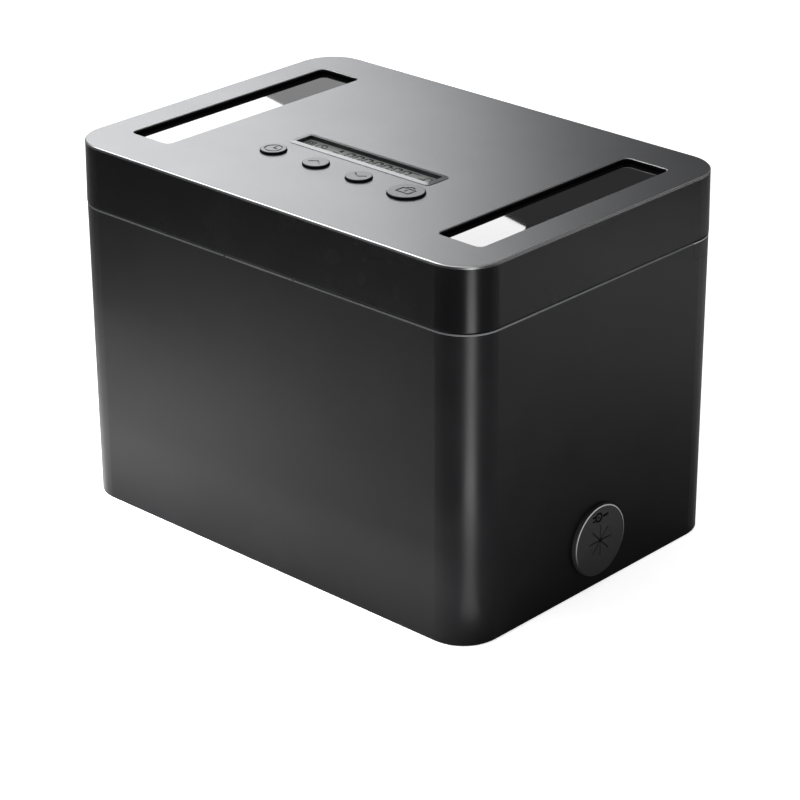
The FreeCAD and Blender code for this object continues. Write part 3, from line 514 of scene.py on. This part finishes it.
@dataclass(frozen=True)
class NitrileRubber:
    """Compression-moulded black nitrile rubber.

    Its skin is matt with a faint bloom, and a pale painted highlight rings the cable entry's round
    edge.
    """

    name: str = "moulded_nitrile_rubber"
    dark: str = "1e1e1f"
    light: str = "242425"
    # The colour of the pale painted highlight on the cable entry's round edge.
    ring_highlight: str = "a9a9aa"
    roughness: float = 0.62
    specular: float = 0.2
    ior: float = 1.52
    bloom_mm: float = 3.5
    skin_mm: float = 0.35
    depth_mm: float = 0.01
    sway: Pair = (-0.05, 0.06)
    axis_mm: Pair = (0.5, 20.7)
    # The radii of the painted highlight's ring round the cable entry, and the heights over which it
    # fades in from below.
    ring_highlight_mm: Pair = (14.15, 14.55)
    ring_highlight_height_mm: Pair = (14.0, 27.0)

    def build(self) -> Material:
        """Makes the material. A pale painted highlight rings the cable entry's round edge,
        strongest on top.
        """
        material, tree = new_material(self.name)
        bloom = object_noise(tree, self.bloom_mm, detail=3.0)
        skin = object_noise(tree, self.skin_mm)
        axes = object_axes(tree)
        flat = add_node(
            tree, "ShaderNodeCombineXYZ", inputs={1: axes.outputs["Y"], 2: axes.outputs["Z"]}
        )
        middle = (0.0, self.axis_mm[0] * MM, self.axis_mm[1] * MM)
        distance = add_node(
            tree, "ShaderNodeVectorMath", {"operation": "DISTANCE"}, {0: flat.outputs[0], 1: middle}
        )
        # Painted highlight: a pale ring on the round edge, stronger towards the top.
        ring = between(tree, distance.outputs["Value"], self.ring_highlight_mm)
        low, high = self.ring_highlight_height_mm
        above = beyond(tree, axes.outputs["Z"], high, high - low)
        share = add_node(tree, "ShaderNodeMath", {"operation": "MULTIPLY"}, {0: ring, 1: above})
        colour = tinted(tree, spread(tree, bloom, 0, 1), self.dark, self.light)
        inputs = {
            "Base Color": mixed(tree, share.outputs[0], colour, linear(self.ring_highlight)),
            "Roughness": swayed(tree, bloom, self.roughness, self.sway),
            "IOR": self.ior,
            "Specular IOR Level": self.specular,
            "Normal": bumped(tree, skin, self.depth_mm),
        }
        return principled(material, inputs)


@dataclass(frozen=True)
class SolderMask:
    """Glass-epoxy board under a green solder mask, with its copper runs showing through.

    The mask is glossy, and paler where copper lies under it.
    """

    name: str = "solder_mask_board"
    bare: str = "0f4a26"
    copper: str = "2a7a3d"
    run_mm: float = 1.9
    run_edge: Pair = (0.52, 0.56)
    roughness: float = 0.25
    depth_mm: float = 0.03

    def build(self) -> Material:
        """Makes the material. The runs are the straight edges of Manhattan cells."""
        material, tree = new_material(self.name)
        place = add_node(tree, "ShaderNodeTexCoord")
        runs = add_node(
            tree,
            "ShaderNodeTexVoronoi",
            {"distance": "MANHATTAN", "feature": "F1"},
            {"Vector": place.outputs["Object"], "Scale": 1 / (self.run_mm * MM * 2)},
        )
        low, high = self.run_edge
        share = add_node(
            tree,
            "ShaderNodeMapRange",
            inputs={"Value": runs.outputs["Distance"], "From Min": low, "From Max": high},
        ).outputs[0]
        inputs = {
            "Base Color": tinted(tree, share, self.bare, self.copper),
            "Roughness": self.roughness,
            "IOR": COATING_IOR,
            "Normal": bumped(tree, share, self.depth_mm),
        }
        return principled(material, inputs)


@dataclass(frozen=True)
class ShrinkWrap:
    """Printed shrink film round a dry cell.

    The film is glossy, with one plain band near the positive end.
    """

    name: str = "printed_shrink_film"
    sleeve: str = "23405f"
    band: str = "a98a3c"
    band_from_mm: float = 14.0
    band_edge_mm: float = 0.1
    roughness: float = 0.22
    wrinkle_mm: float = 2.5
    depth_mm: float = 0.02

    def build(self) -> Material:
        """Makes the material. The band lies beyond a level along the piece's Y."""
        material, tree = new_material(self.name)
        along = object_axes(tree).outputs["Y"]
        share = beyond(tree, along, self.band_from_mm, self.band_edge_mm)
        inputs = {
            "Base Color": tinted(tree, share, self.sleeve, self.band),
            "Roughness": self.roughness,
            "IOR": COATING_IOR,
            "Normal": bumped(tree, object_noise(tree, self.wrinkle_mm), self.depth_mm),
        }
        return principled(material, inputs)


@dataclass(frozen=True)
class WireInsulation:
    """Extruded soft PVC over stranded wire. The strands show as a faint twist."""

    name: str = "pvc_wire_insulation"
    dark: str = "7a1512"
    light: str = "9a201b"
    roughness: float = 0.4
    twist_mm: float = 0.8
    twist_stretch: tuple = (1, 0.3, 1)
    depth_mm: float = 0.03

    def build(self) -> Material:
        """Makes the material."""
        material, tree = new_material(self.name)
        twist = object_noise(tree, self.twist_mm, 1.0, self.twist_stretch)
        inputs = {
            "Base Color": tinted(tree, spread(tree, twist, 0, 1), self.dark, self.light),
            "Roughness": self.roughness,
            "IOR": COATING_IOR,
            "Normal": bumped(tree, twist, self.depth_mm),
        }
        return principled(material, inputs)


@dataclass(frozen=True)
class PadPrintedInk:
    """A thin film of ink from a printing pad, or a liquid-crystal segment that is on.

    Its edge is crisp, and tiny pinholes make its gloss uneven.
    """

    name: str
    dark: str
    light: str
    roughness: float = 0.45
    specular: float = 0.5
    pinhole_mm: float = 0.3
    sway: Pair = (-0.05, 0.05)

    def build(self) -> Material:
        """Makes the material."""
        material, tree = new_material(self.name)
        film = object_noise(tree, self.pinhole_mm)
        inputs = {
            "Base Color": tinted(tree, spread(tree, film, 0, 1), self.dark, self.light),
            "Roughness": swayed(tree, film, self.roughness, self.sway),
            "IOR": COATING_IOR,
            "Specular IOR Level": self.specular,
        }
        return principled(material, inputs)


@dataclass(frozen=True)
class StudioPaper:
    """The pale paper under the object, which reads as white to the camera."""

    name: str = "studio_paper"
    dark: str = "ececec"
    light: str = "f2f2f2"
    glow: float = 0.72
    fibre_mm: float = 6.0

    def build(self) -> Material:
        """Makes the material.

        The glow is added only for camera rays and for rays that come through the windows,
        so it lights nothing.
        """
        material, tree = new_material(self.name)
        fibre = object_noise(tree, self.fibre_mm, detail=3.0)
        paper = add_node(
            tree,
            "ShaderNodeBsdfDiffuse",
            inputs={"Color": tinted(tree, spread(tree, fibre, 0, 1), self.dark, self.light)},
        )
        path = add_node(tree, "ShaderNodeLightPath")
        seen = add_node(
            tree,
            "ShaderNodeMath",
            {"operation": "MAXIMUM"},
            {0: path.outputs["Is Camera Ray"], 1: path.outputs["Is Transmission Ray"]},
        )
        strength = add_node(
            tree, "ShaderNodeMath", {"operation": "MULTIPLY"}, {0: seen.outputs[0], 1: self.glow}
        )
        glow = add_node(tree, "ShaderNodeEmission", inputs={"Strength": strength.outputs[0]})
        both = add_node(
            tree, "ShaderNodeAddShader", inputs={0: paper.outputs[0], 1: glow.outputs[0]}
        )
        finish_surface(tree, both)
        return material


# ---------------------------------------------------------------- surfaces


@dataclass
class Surface:
    """Corner points and faces of one closed surface, in millimetres."""

    points: np.ndarray
    faces: np.ndarray

    def joined_with(self, others: list["Surface"]) -> "Surface":
        """Puts several surfaces side by side in one.

        Args:
            others: The surfaces that come after this one.

        Returns:
            One surface that holds them all.
        """
        every = [self, *others]
        starts = np.cumsum([0, *[len(part.points) for part in every[:-1]]])
        points = np.concatenate([part.points for part in every])
        faces = np.concatenate([part.faces + start for part, start in zip(every, starts)])
        return Surface(points, faces)

    def as_piece(self, name: str, body: Body, slot: str, material: Material) -> bpy.types.Object:
        """Makes the Blender object, gives it its finish and lets it ride on a body.

        Args:
            name: The piece's name.
            body: The body that carries it.
            slot: The record's material slot that its finish belongs to. It is not used.
            material: The finish.

        Returns:
            The new object, at the origin with its place in its mesh.
        """
        mesh = bpy.data.meshes.new(name)
        mesh.vertices.add(len(self.points))
        mesh.vertices.foreach_set("co", (self.points * MM).astype(np.float32).ravel())
        count, sides = self.faces.shape
        mesh.loops.add(count * sides)
        mesh.loops.foreach_set("vertex_index", self.faces.astype(np.int32).ravel())
        mesh.polygons.add(count)
        mesh.polygons.foreach_set("loop_start", np.arange(0, count * sides, sides, dtype=np.int32))
        mesh.update(calc_edges=True)
        mesh.validate()
        mesh.materials.append(material)
        piece = bpy.data.objects.new(name, mesh)
        bpy.context.scene.collection.objects.link(piece)
        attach(piece, body.value)
        LOG.info("%s has %d faces and rides on %s", name, count, body.value)
        return piece


def swept_bar(
    path: np.ndarray, half_width: np.ndarray | float, low: float, high: float, closed: bool = False
) -> Surface:
    """Carries a four-sided profile along a flat path.

    At station i the profile's corners are path[i] plus or minus half_width[i] times the
    path's left-hand normal, at the heights low and high. The grid of stations by corners
    is closed round the profile, and either round the path or by a face at each end.

    Args:
        path: Points of the middle line, two numbers each.
        half_width: Half the bar's width, one number or one for each point.
        low: The height of its under side.
        high: The height of its top.
        closed: True where the path's last point joins its first.

    Returns:
        The closed surface, with its faces pointing out.
    """
    path = np.asarray(path, dtype=float)
    if closed:
        ahead, behind = np.roll(path, -1, axis=0) - path, path - np.roll(path, 1, axis=0)
    else:
        step = np.diff(path, axis=0)
        ahead, behind = np.vstack([step, step[-1:]]), np.vstack([step[:1], step])
    ahead = ahead / np.linalg.norm(ahead, axis=1, keepdims=True)
    behind = behind / np.linalg.norm(behind, axis=1, keepdims=True)
    middle = ahead + behind
    middle = middle / np.linalg.norm(middle, axis=1, keepdims=True)
    normal = np.stack([-middle[:, 1], middle[:, 0]], axis=1)
    mitre = 1 / np.clip((middle * ahead).sum(axis=1), 0.5, 1)
    reach = normal * (np.broadcast_to(half_width, (len(path),)) * mitre)[:, None]
    flat = np.stack([path + reach, path - reach, path - reach, path + reach], axis=1)
    level = np.broadcast_to([low, low, high, high], (len(path), 4))
    points = np.concatenate([flat, level[:, :, None]], axis=2).reshape(-1, 3)
    return Surface(points, ring_faces(len(path), 4, closed))


def ring_faces(stations: int, corners: int, closed: bool) -> np.ndarray:
    """Numbers the faces of a tube of four-cornered rings.

    Face (i, j) joins corners j and j + 1 of ring i to the same corners of ring i + 1,
    counted round, and an open tube has one face at each end.

    Args:
        stations: The number of rings.
        corners: The number of corners in a ring.
        closed: True where the last ring joins the first.

    Returns:
        One row of four point numbers for each face.
    """
    spans = stations if closed else stations - 1
    ring, corner = np.meshgrid(np.arange(spans), np.arange(corners), indexing="ij")
    after, beside = (ring + 1) % stations, (corner + 1) % corners
    faces = np.stack(
        [
            ring * corners + corner,
            ring * corners + beside,
            after * corners + beside,
            after * corners + corner,
        ],
        axis=2,
    ).reshape(-1, 4)
    if not closed:
        first = np.arange(corners)[::-1]
        last = np.arange(corners) + (stations - 1) * corners
        faces = np.vstack([faces, first, last])
    return faces


def arc(centre: Pair, radius: float, start: float, end: float, count: int) -> np.ndarray:
    """Points on an arc: centre plus radius times (cos t, sin t), t from start to end in degrees."""
    turn = np.radians(np.linspace(start, end, count))
    return np.asarray(centre) + radius * np.stack([np.cos(turn), np.sin(turn)], axis=1)


def circle(centre: Pair, radius: float) -> np.ndarray:
    """The points of a whole circle, where the first isn't repeated at the end."""
    return arc(centre, radius, 0, 360 - 360 / CIRCLE_POINTS, CIRCLE_POINTS)


def standing(surface: Surface, centre: Pair, face_x: float) -> Surface:
    """Stands a flat drawing up against a face whose normal is +X.

    The drawing's x runs along +Y, its y along +Z and its height along +X.

    Args:
        surface: The drawing.
        centre: Where the drawing's origin goes, as Y and Z.
        face_x: The X of the face.

    Returns:
        The turned surface.
    """
    across, up, out = surface.points.T
    points = np.stack([out + face_x, across + centre[0], up + centre[1]], axis=1)
    return Surface(points, surface.faces)


# ---------------------------------------------------------------- sub-assemblies


@dataclass
class Case:
    """The lower case with its hinge caps, feet, catch and cable entry."""

    mark_y: float = -0.8
    mark_z: float = 30.9
    mark_height: float = 0.15
    mark_sunk: float = 0.02
    plug_radius: float = 1.7
    plug_rim: float = 0.34
    hub_half: float = 0.35
    pin_ends: Pair = (-3.6, -1.5)
    pin_rows: Pair = (-0.85, 0.85)
    pin_half: float = 0.3
    lead_ends: tuple = ((2.7, -0.3), (5.7, -0.1))
    lead_half: float = 0.42
    # The shell and the trim carry a pale painted highlight line along the rim.
    shell: MouldedPlastic = MouldedPlastic(
        "textured_black_abs", "0c0c0d", "0f0f10", 0.33, specular=0.04, rim_highlight_mm=RIM_HIGHLIGHT_MM
    )
    trim: MouldedPlastic = MouldedPlastic(
        "satin_black_nylon", "131314", "181819", 0.4, grain_mm=0.3, specular=0.1, rim_highlight_mm=RIM_HIGHLIGHT_MM
    )
    screws: PlatedMetal = PlatedMetal("zinc_plated_steel", "9fa1a3", "b7b9ba")
    rubber: NitrileRubber = NitrileRubber()
    ink: PadPrintedInk = PadPrintedInk("black_pad_ink", "020202", "040404", 0.7, 0.02)

    def dress(self) -> None:
        """Finishes the carried-over nodes of the case."""
        painted_nodes(self.shell.build(), "body_shell", "hinge_cap_right", "hinge_cap_left")
        painted_nodes(self.trim.build(), "front_catch")
        painted_nodes(self.screws.build(), "catch_screws", "hinge_pin_right", "hinge_pin_left")
        painted_nodes(
            self.rubber.build(),
            "cable_grommet",
            "foot_front_left",
            "foot_front_right",
            "foot_rear_left",
            "foot_rear_right",
        )

    def build_plug_mark(self) -> None:
        """Builds the small plug mark on the cable entry's face: a body, two pins and a lead."""
        top = self.mark_height
        body = swept_bar(circle((0, 0), self.plug_radius), self.plug_rim, 0, top, closed=True)
        hub = swept_bar(np.array([[-self.hub_half, 0], [self.hub_half, 0]]), self.hub_half, 0, top)
        tip, root = self.pin_ends
        pins = [
            swept_bar(np.array([[tip, y], [root, y]]), self.pin_half, 0, top) for y in self.pin_rows
        ]
        lead = swept_bar(np.array(self.lead_ends), self.lead_half, 0, top)
        drawing = body.joined_with([hub, *pins, lead])
        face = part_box("cable_grommet")[1][0] / MM - self.mark_sunk
        mark = standing(drawing, (self.mark_y, self.mark_z), face)
        mark.as_piece("plug_mark", Body.CASE, "rubber_black", self.ink.build())


@dataclass
class Lid:
    """The lid's shell, its silver top plate and its two smoked windows."""

    shell: MouldedPlastic = MouldedPlastic(
        "polished_black_abs", "070708", "09090a", 0.26, grain_mm=0.6, depth_mm=0.004, specular=0.04
    )
    # The plate's cut edge gets a painted highlight, and its side below it painted shade.
    plate: SatinAluminium = SatinAluminium(highlight_band_mm=(152.88, 153.17))
    glass: SmokedAcrylic = SmokedAcrylic()
    gasket: MouldedPlastic = MouldedPlastic(
        "gloss_black_window_trim", "0a0a0b", "0d0d0e", roughness=0.05, depth_mm=0.0005
    )
    moulding: MouldedPlastic = MouldedPlastic(
        "plain_black_abs", "1a1a1b", "202021", roughness=0.48, grain_mm=0.5
    )

    def dress(self) -> None:
        """Finishes the carried-over nodes of the lid's outside and its inner cover."""
        painted_nodes(self.shell.build(), "lid_shell")
        painted_nodes(self.plate.build(), "top_plate")
        painted_nodes(self.glass.build(), "window_left", "window_right")
        painted_nodes(self.gasket.build(), "window_frame_left", "window_frame_right")
        painted_nodes(
            self.moulding.build(), "inner_cover", "battery_door", "lock_housing", "display_holder"
        )


@dataclass
class Display:
    """The liquid-crystal display: its bezel, its cell, the digits and the small marks."""

    face_z: float = 152.0
    film: float = 0.05
    digit_lefts: tuple = (-13.4, -8.75, -4.1, 1.35, 6.0, 11.45, 16.1)
    colon_lefts: tuple = (0.0, 10.1)
    digit_foot: float = -15.4
    digit_width: float = 2.9
    digit_height: float = 5.0
    bar: float = 0.36
    gap: float = 0.12
    slant: float = 0.12
    tip: float = 0.06
    sunk: float = 0.01
    dot_rows: tuple = (1.4, 3.5)
    dot_half: float = 0.35
    stroke: float = 0.22
    grid_rows: tuple = (-14.9, -13.5, -12.1, -10.7)
    grid_row_ends: tuple = (-34.3, -30.9)
    grid_columns: tuple = (-34.2, -32.6, -31.0)
    grid_column_ends: tuple = (-15.1, -10.5)
    clock_centre: tuple = (-26.6, -12.8)
    clock_radius: float = 2.3
    clock_rim: float = 0.24
    clock_hands: tuple = ((-26.6, -11.2), (-25.3, -13.4))
    bell_base: tuple = ((-19.4, -14.3), (-18.0, -14.3), (-16.4, -14.3))
    bell_base_halves: tuple = (1.0, 0.8, 0.8)
    bell_dome: tuple = ((-17.0, -9.9), (-17.0, -12.1))
    bell_dome_halves: tuple = (0.25, 0.8)
    dash: tuple = ((19.6, -10.4), (23.6, -10.4))
    dash_half: float = 0.2
    lock_body: tuple = ((25.6, -14.6), (28.6, -14.6))
    lock_half: float = 1.25
    bow_centre: tuple = (29.5, -12.0)
    bow_radius: float = 1.4
    bow_points: int = 13
    shackle_ends: tuple = ((28.1, -13.4), (30.9, -13.2))
    bezel: SatinAluminium = SatinAluminium(
        "satin_metallised_bezel", "58595b", "606163", roughness=0.34
    )
    cell: DisplayGlass = DisplayGlass()
    guide: MouldedPlastic = MouldedPlastic("white_light_guide", "d9d9d4", "e2e2de", roughness=0.3)
    segment: PadPrintedInk = PadPrintedInk("dark_liquid_crystal", "0c0d0c", "121312", 0.4, 0.04)

    def dress(self) -> None:
        """Finishes the carried-over nodes of the display."""
        painted_nodes(self.bezel.build(), "display_bezel")
        painted_nodes(self.cell.build(), "display_panel")
        painted_nodes(self.guide.build(), "display_backlight")

    def slanted(self, points: np.ndarray) -> np.ndarray:
        """Leans points to the right: x grows by slant times the height above the digits' foot."""
        lean = self.slant * (points[:, 1] - self.digit_foot)
        return points + np.stack([lean, np.zeros(len(points))], axis=1)

    def raised(
        self, path: tuple | np.ndarray, half_width: np.ndarray | float, closed: bool = False
    ) -> Surface:
        """A flat bar on the face of the cell, along a path of at least two points."""
        top = self.face_z + self.film
        return swept_bar(path, half_width, self.face_z - self.sunk, top, closed)

    def bar_surface(self, left: float, which: Segment) -> Surface:
        """One bar of a digit, pointed at both ends.

        Args:
            left: The X of the digit's left side.
            which: The bar.

        Returns:
            The bar's surface.
        """
        cell = np.array([self.digit_width, self.digit_height / 2])
        start, end = (np.array(corner, dtype=float) * cell for corner in which.value)
        along = (end - start) / np.linalg.norm(end - start)
        start, end = start + along * self.gap, end - along * self.gap
        path = np.stack([start, start + along * self.bar, end - along * self.bar, end])
        path = path + np.array([left, self.digit_foot])
        half = np.array([self.tip, self.bar, self.bar, self.tip])
        return self.raised(self.slanted(path), half)

    def build_digits(self) -> None:
        """Builds seven zeros in three groups: every bar is on except the middle one."""
        lit = [bar for bar in Segment if bar is not Segment.MIDDLE]
        bars = [self.bar_surface(left, bar) for left in self.digit_lefts for bar in lit]
        dots = []
        for left in self.colon_lefts:
            for row in self.dot_rows:
                y = self.digit_foot + row
                dot = np.array([[left - self.dot_half, y], [left + self.dot_half, y]])
                dots.append(self.raised(self.slanted(dot), self.dot_half))
        digits = bars[0].joined_with(bars[1:] + dots)
        digits.as_piece("display_digits", Body.LID, "display_glass", self.segment.build())

    def build_marks(self) -> None:
        """Builds the small marks beside the digits: a grid, clock, bell, dash and open padlock."""
        left, right = self.grid_row_ends
        low, high = self.grid_column_ends
        grid = [self.raised(((left, y), (right, y)), self.stroke) for y in self.grid_rows]
        grid += [self.raised(((x, low), (x, high)), self.stroke) for x in self.grid_columns]
        rim = circle(self.clock_centre, self.clock_radius)
        clock = [self.raised(rim, self.clock_rim, closed=True)]
        clock += [self.raised((self.clock_centre, tip), self.stroke) for tip in self.clock_hands]
        bell = [
            self.raised(self.bell_base, np.array(self.bell_base_halves)),
            self.raised(self.bell_dome, np.array(self.bell_dome_halves)),
        ]
        dash = [self.raised(self.dash, self.dash_half)]
        bow = arc(self.bow_centre, self.bow_radius, 180, 0, self.bow_points)
        start, end = self.shackle_ends
        shackle = np.vstack([[start], bow, [end]])
        lock = [
            self.raised(self.lock_body, self.lock_half),
            self.raised(shackle, self.stroke),
        ]
        marks = [*grid, *clock, *bell, *dash, *lock]
        drawing = marks[0].joined_with(marks[1:])
        drawing.as_piece("display_marks", Body.LID, "display_glass", self.segment.build())


@dataclass
class Controls:
    """The four push buttons with the board, switches and sounder under them."""

    button: EngravedButton = EngravedButton()
    plunger: MouldedPlastic = MouldedPlastic("natural_acetal", "cfcfca", "dadad5", roughness=0.4)
    switch: MouldedPlastic = MouldedPlastic(
        "glass_filled_nylon", "171717", "1d1d1d", roughness=0.55, grain_mm=0.25
    )
    board: SolderMask = SolderMask()
    screws: PlatedMetal = PlatedMetal("nickel_plated_steel", "a5a5a0", "bcbcb7", roughness=0.22)

    def dress(self) -> None:
        """Finishes the carried-over nodes of the controls."""
        names = ("mode", "up", "down", "lock")
        painted_nodes(self.button.build(), *[name + "_button" for name in names])
        painted_nodes(self.plunger.build(), *[name + "_plunger" for name in names])
        painted_nodes(
            self.switch.build(), "buzzer", "microcontroller", *[name + "_switch" for name in names]
        )
        painted_nodes(self.board.build(), "control_board")
        painted_nodes(self.screws.build(), "board_screws")


@dataclass
class LockDrive:
    """The motor, gearbox, pinion and bolt that hold the lid shut."""

    motor: PlatedMetal = PlatedMetal("nickel_plated_motor_can", "9b9c9d", "b4b5b6", roughness=0.2)
    brass: PlatedMetal = PlatedMetal("turned_brass", "a8873f", "bb9a4e", roughness=0.3)
    pinion: MouldedPlastic = MouldedPlastic("white_acetal_gear", "d6d6d2", "dfdfdb", roughness=0.35)
    bolt: MouldedPlastic = MouldedPlastic("grey_acetal_bolt", "55565a", "5e5f63", roughness=0.35)
    leads: WireInsulation = WireInsulation()
    shaft: PlatedMetal = PlatedMetal("ground_steel_shaft", "a2a3a4", "b2b3b4", roughness=0.18)

    def dress(self) -> None:
        """Finishes the carried-over nodes of the lock."""
        painted_nodes(self.motor.build(), "lock_motor")
        painted_nodes(self.brass.build(), "gearbox")
        painted_nodes(self.pinion.build(), "drive_pinion")
        painted_nodes(self.bolt.build(), "latch_bolt")
        painted_nodes(self.leads.build(), "motor_leads")
        painted_nodes(self.shaft.build(), "motor_shaft")


@dataclass
class BatteryBay:
    """The four cells with their contacts and springs, and the screws of the inner cover."""

    cells: int = 4
    wrap: ShrinkWrap = ShrinkWrap()
    contact: PlatedMetal = PlatedMetal("nickel_plated_contact", "b0afa8", "c3c2bb", roughness=0.24)
    screws: PlatedMetal = PlatedMetal("black_zinc_screw", "3a3a3c", "4a4a4c", roughness=0.35)

    def dress(self) -> None:
        """Finishes the carried-over nodes of the battery bay."""
        painted_nodes(self.wrap.build(), *[f"battery_cell_{n + 1}" for n in range(self.cells)])
        painted_nodes(self.contact.build(), "battery_contacts", "battery_springs")
        painted_nodes(self.screws.build(), "cover_screws", "door_screw", "lock_screws")


# ---------------------------------------------------------------- studio


@dataclass
class PhotoCamera:
    """A long-lens camera that was fitted to the box's edges in the photograph."""

    azimuth: float = 42.9378
    elevation: float = 24.551
    roll: float = -0.2269
    distance: float = 1175.4388
    slide: float = 2.2043
    lift: float = -27.2732
    target: tuple = (0.0, 0.0, 77.0)
    lens: float = 132.4678
    sensor: float = 36.0
    near_m: float = 0.05
    far_m: float = 50.0

    def place(self) -> None:
        """Makes the camera and points it by its own three axes."""
        turn, rise, lean = (math.radians(a) for a in (self.azimuth, self.elevation, self.roll))
        back = Vector(
            (math.sin(turn) * math.cos(rise), -math.cos(turn) * math.cos(rise), math.sin(rise))
        )
        right = (-back).cross(Vector((0, 0, 1))).normalized()
        up = right.cross(-back)
        camera_x = right * math.cos(lean) + up * math.sin(lean)
        camera_y = up * math.cos(lean) - right * math.sin(lean)
        camera = bpy.data.objects.new("photo_camera", bpy.data.cameras.new("photo_camera"))
        bpy.context.scene.collection.objects.link(camera)
        camera.data.lens = self.lens
        camera.data.sensor_width = self.sensor
        camera.data.clip_start, camera.data.clip_end = self.near_m, self.far_m
        place = Vector(self.target) + back * self.distance + right * self.slide + up * self.lift
        camera.location = place * MM
        camera.rotation_mode = "QUATERNION"
        camera.rotation_quaternion = Matrix((camera_x, camera_y, back)).transposed().to_quaternion()
        bpy.context.scene.camera = camera
        LOG.info("the camera stands at %s mm", [round(v) for v in place])


@dataclass
class SoftBox:
    """One flat lamp with a diffuser, given by its middle, its aim, its size and its brightness."""

    name: str
    middle: tuple
    aim: tuple
    size: tuple
    radiance: float
    edge: tuple = (1.0, 0.0, 0.0)

    def place(self) -> None:
        """Makes the lamp. Its X axis lies along edge, square to the line to its aim."""
        lamp = bpy.data.lights.new(self.name, "AREA")
        lamp.shape = "RECTANGLE"
        lamp.size, lamp.size_y = (side * MM for side in self.size)
        lamp.energy = self.radiance * math.pi * lamp.size * lamp.size_y
        piece = bpy.data.objects.new(self.name, lamp)
        bpy.context.scene.collection.objects.link(piece)
        back = (Vector(self.middle) - Vector(self.aim)).normalized()
        across = (Vector(self.edge) - back * Vector(self.edge).dot(back)).normalized()
        piece.rotation_mode = "QUATERNION"
        piece.rotation_quaternion = (
            Matrix((across, back.cross(across), back)).transposed().to_quaternion()
        )
        piece.location = Vector(self.middle) * MM
        piece.visible_camera = False
        LOG.info("%s shines with %.1f W", self.name, lamp.energy)


@dataclass
class Studio:
    """A pale floor, an even surround, soft lamps and the camera."""

    floor_half: float = 6000.0
    floor_cells: int = 8
    surround: float = 0.14
    backdrop: float = 1.0
    paper: StudioPaper = StudioPaper()
    camera: PhotoCamera = field(default_factory=PhotoCamera)
    lamps: list[SoftBox] = field(
        default_factory=lambda: [
            SoftBox("overhead_box", (-100, -150, 1500), (0, 0, 100), (1200, 1200), 0.9),
            SoftBox(
                "rear_left_box",
                (-1026, 720, 812),
                (-1230, -163, 389),
                (893, 600),
                5.6,
                (1, -0.2315, 0),
            ),
            SoftBox("rear_left_panel", (-1163, 886, 560), (0, 0, 560), (527, 300), 1.0, (1, 1, 0)),
            SoftBox("front_left_box", (-930, -696, 1150), (0, -75, 153), (520, 520), 4.5),
            SoftBox("floor_left_box", (-160, -165, 90), (-160, -165, 0), (180, 140), 12.0),
            SoftBox("floor_front_box", (-25, -125, 40), (-25, -125, 0), (290, 76), 7.2),
            SoftBox("floor_right_box", (330, 280, 120), (330, 280, 0), (240, 240), 6.5),
            SoftBox("near_strip", (147, -96, 3), (147, -96, 300), (70, 26), 13.0, STRIP_EDGE),
            SoftBox("middle_strip", (245, -156, 3), (245, -156, 300), (160, 64), 38.0, STRIP_EDGE),
            SoftBox("far_strip", (398, -250, 3), (398, -250, 300), (200, 120), 44.0, STRIP_EDGE),
        ]
    )

    def build_floor(self) -> None:
        """Builds the floor: a flat grid that reaches floor_half from the middle each way."""
        cells = self.floor_cells
        row = cells + 1
        line = np.linspace(-self.floor_half, self.floor_half, row)
        x, y = np.meshgrid(line, line, indexing="ij")
        points = np.stack([x, y, np.zeros_like(x)], axis=2).reshape(-1, 3) * MM
        first = np.arange(cells)[:, None] * row + np.arange(cells)
        faces = np.stack([first, first + row, first + row + 1, first + 1], axis=2).reshape(-1, 4)
        mesh = bpy.data.meshes.new("studio_floor")
        mesh.from_pydata(points.tolist(), [], faces.tolist())
        mesh.materials.append(self.paper.build())
        floor = bpy.data.objects.new("studio_floor", mesh)
        bpy.context.scene.collection.objects.link(floor)
        LOG.info("the floor is %.0f m wide", 2 * self.floor_half * MM)

    def build_surround(self) -> None:
        """Lights the scene evenly from all round, with a white backdrop where it is seen."""
        world = bpy.data.worlds.new("soft_surround")
        bpy.context.scene.world = world
        world.use_nodes = True
        tree = world.node_tree
        tree.nodes.clear()
        path = add_node(tree, "ShaderNodeLightPath")
        level = add_node(
            tree,
            "ShaderNodeMapRange",
            inputs={
                "Value": path.outputs["Is Camera Ray"],
                "To Min": self.surround,
                "To Max": self.backdrop,
            },
        )
        light = add_node(
            tree,
            "ShaderNodeBackground",
            inputs={"Color": linear("ffffff"), "Strength": level.outputs[0]},
        )
        add_node(tree, "ShaderNodeOutputWorld", inputs={"Surface": light.outputs[0]})

    def build(self) -> None:
        """Builds the whole studio."""
        self.camera.place()
        self.build_floor()
        self.build_surround()
        for lamp in self.lamps:
            lamp.place()
        bpy.context.scene.view_settings.view_transform = "Standard"


def main() -> None:
    """Builds the studio and dresses every sub-assembly in order."""
    logging.basicConfig(level=logging.INFO, format="%(message)s")
    Studio().build()
    case = Case()
    case.dress()
    case.build_plug_mark()
    Lid().dress()
    display = Display()
    display.dress()
    display.build_digits()
    display.build_marks()
    Controls().dress()
    LockDrive().dress()
    BatteryBay().dress()
    bpy.context.view_layer.update()


if __name__ == "__main__":
    main()
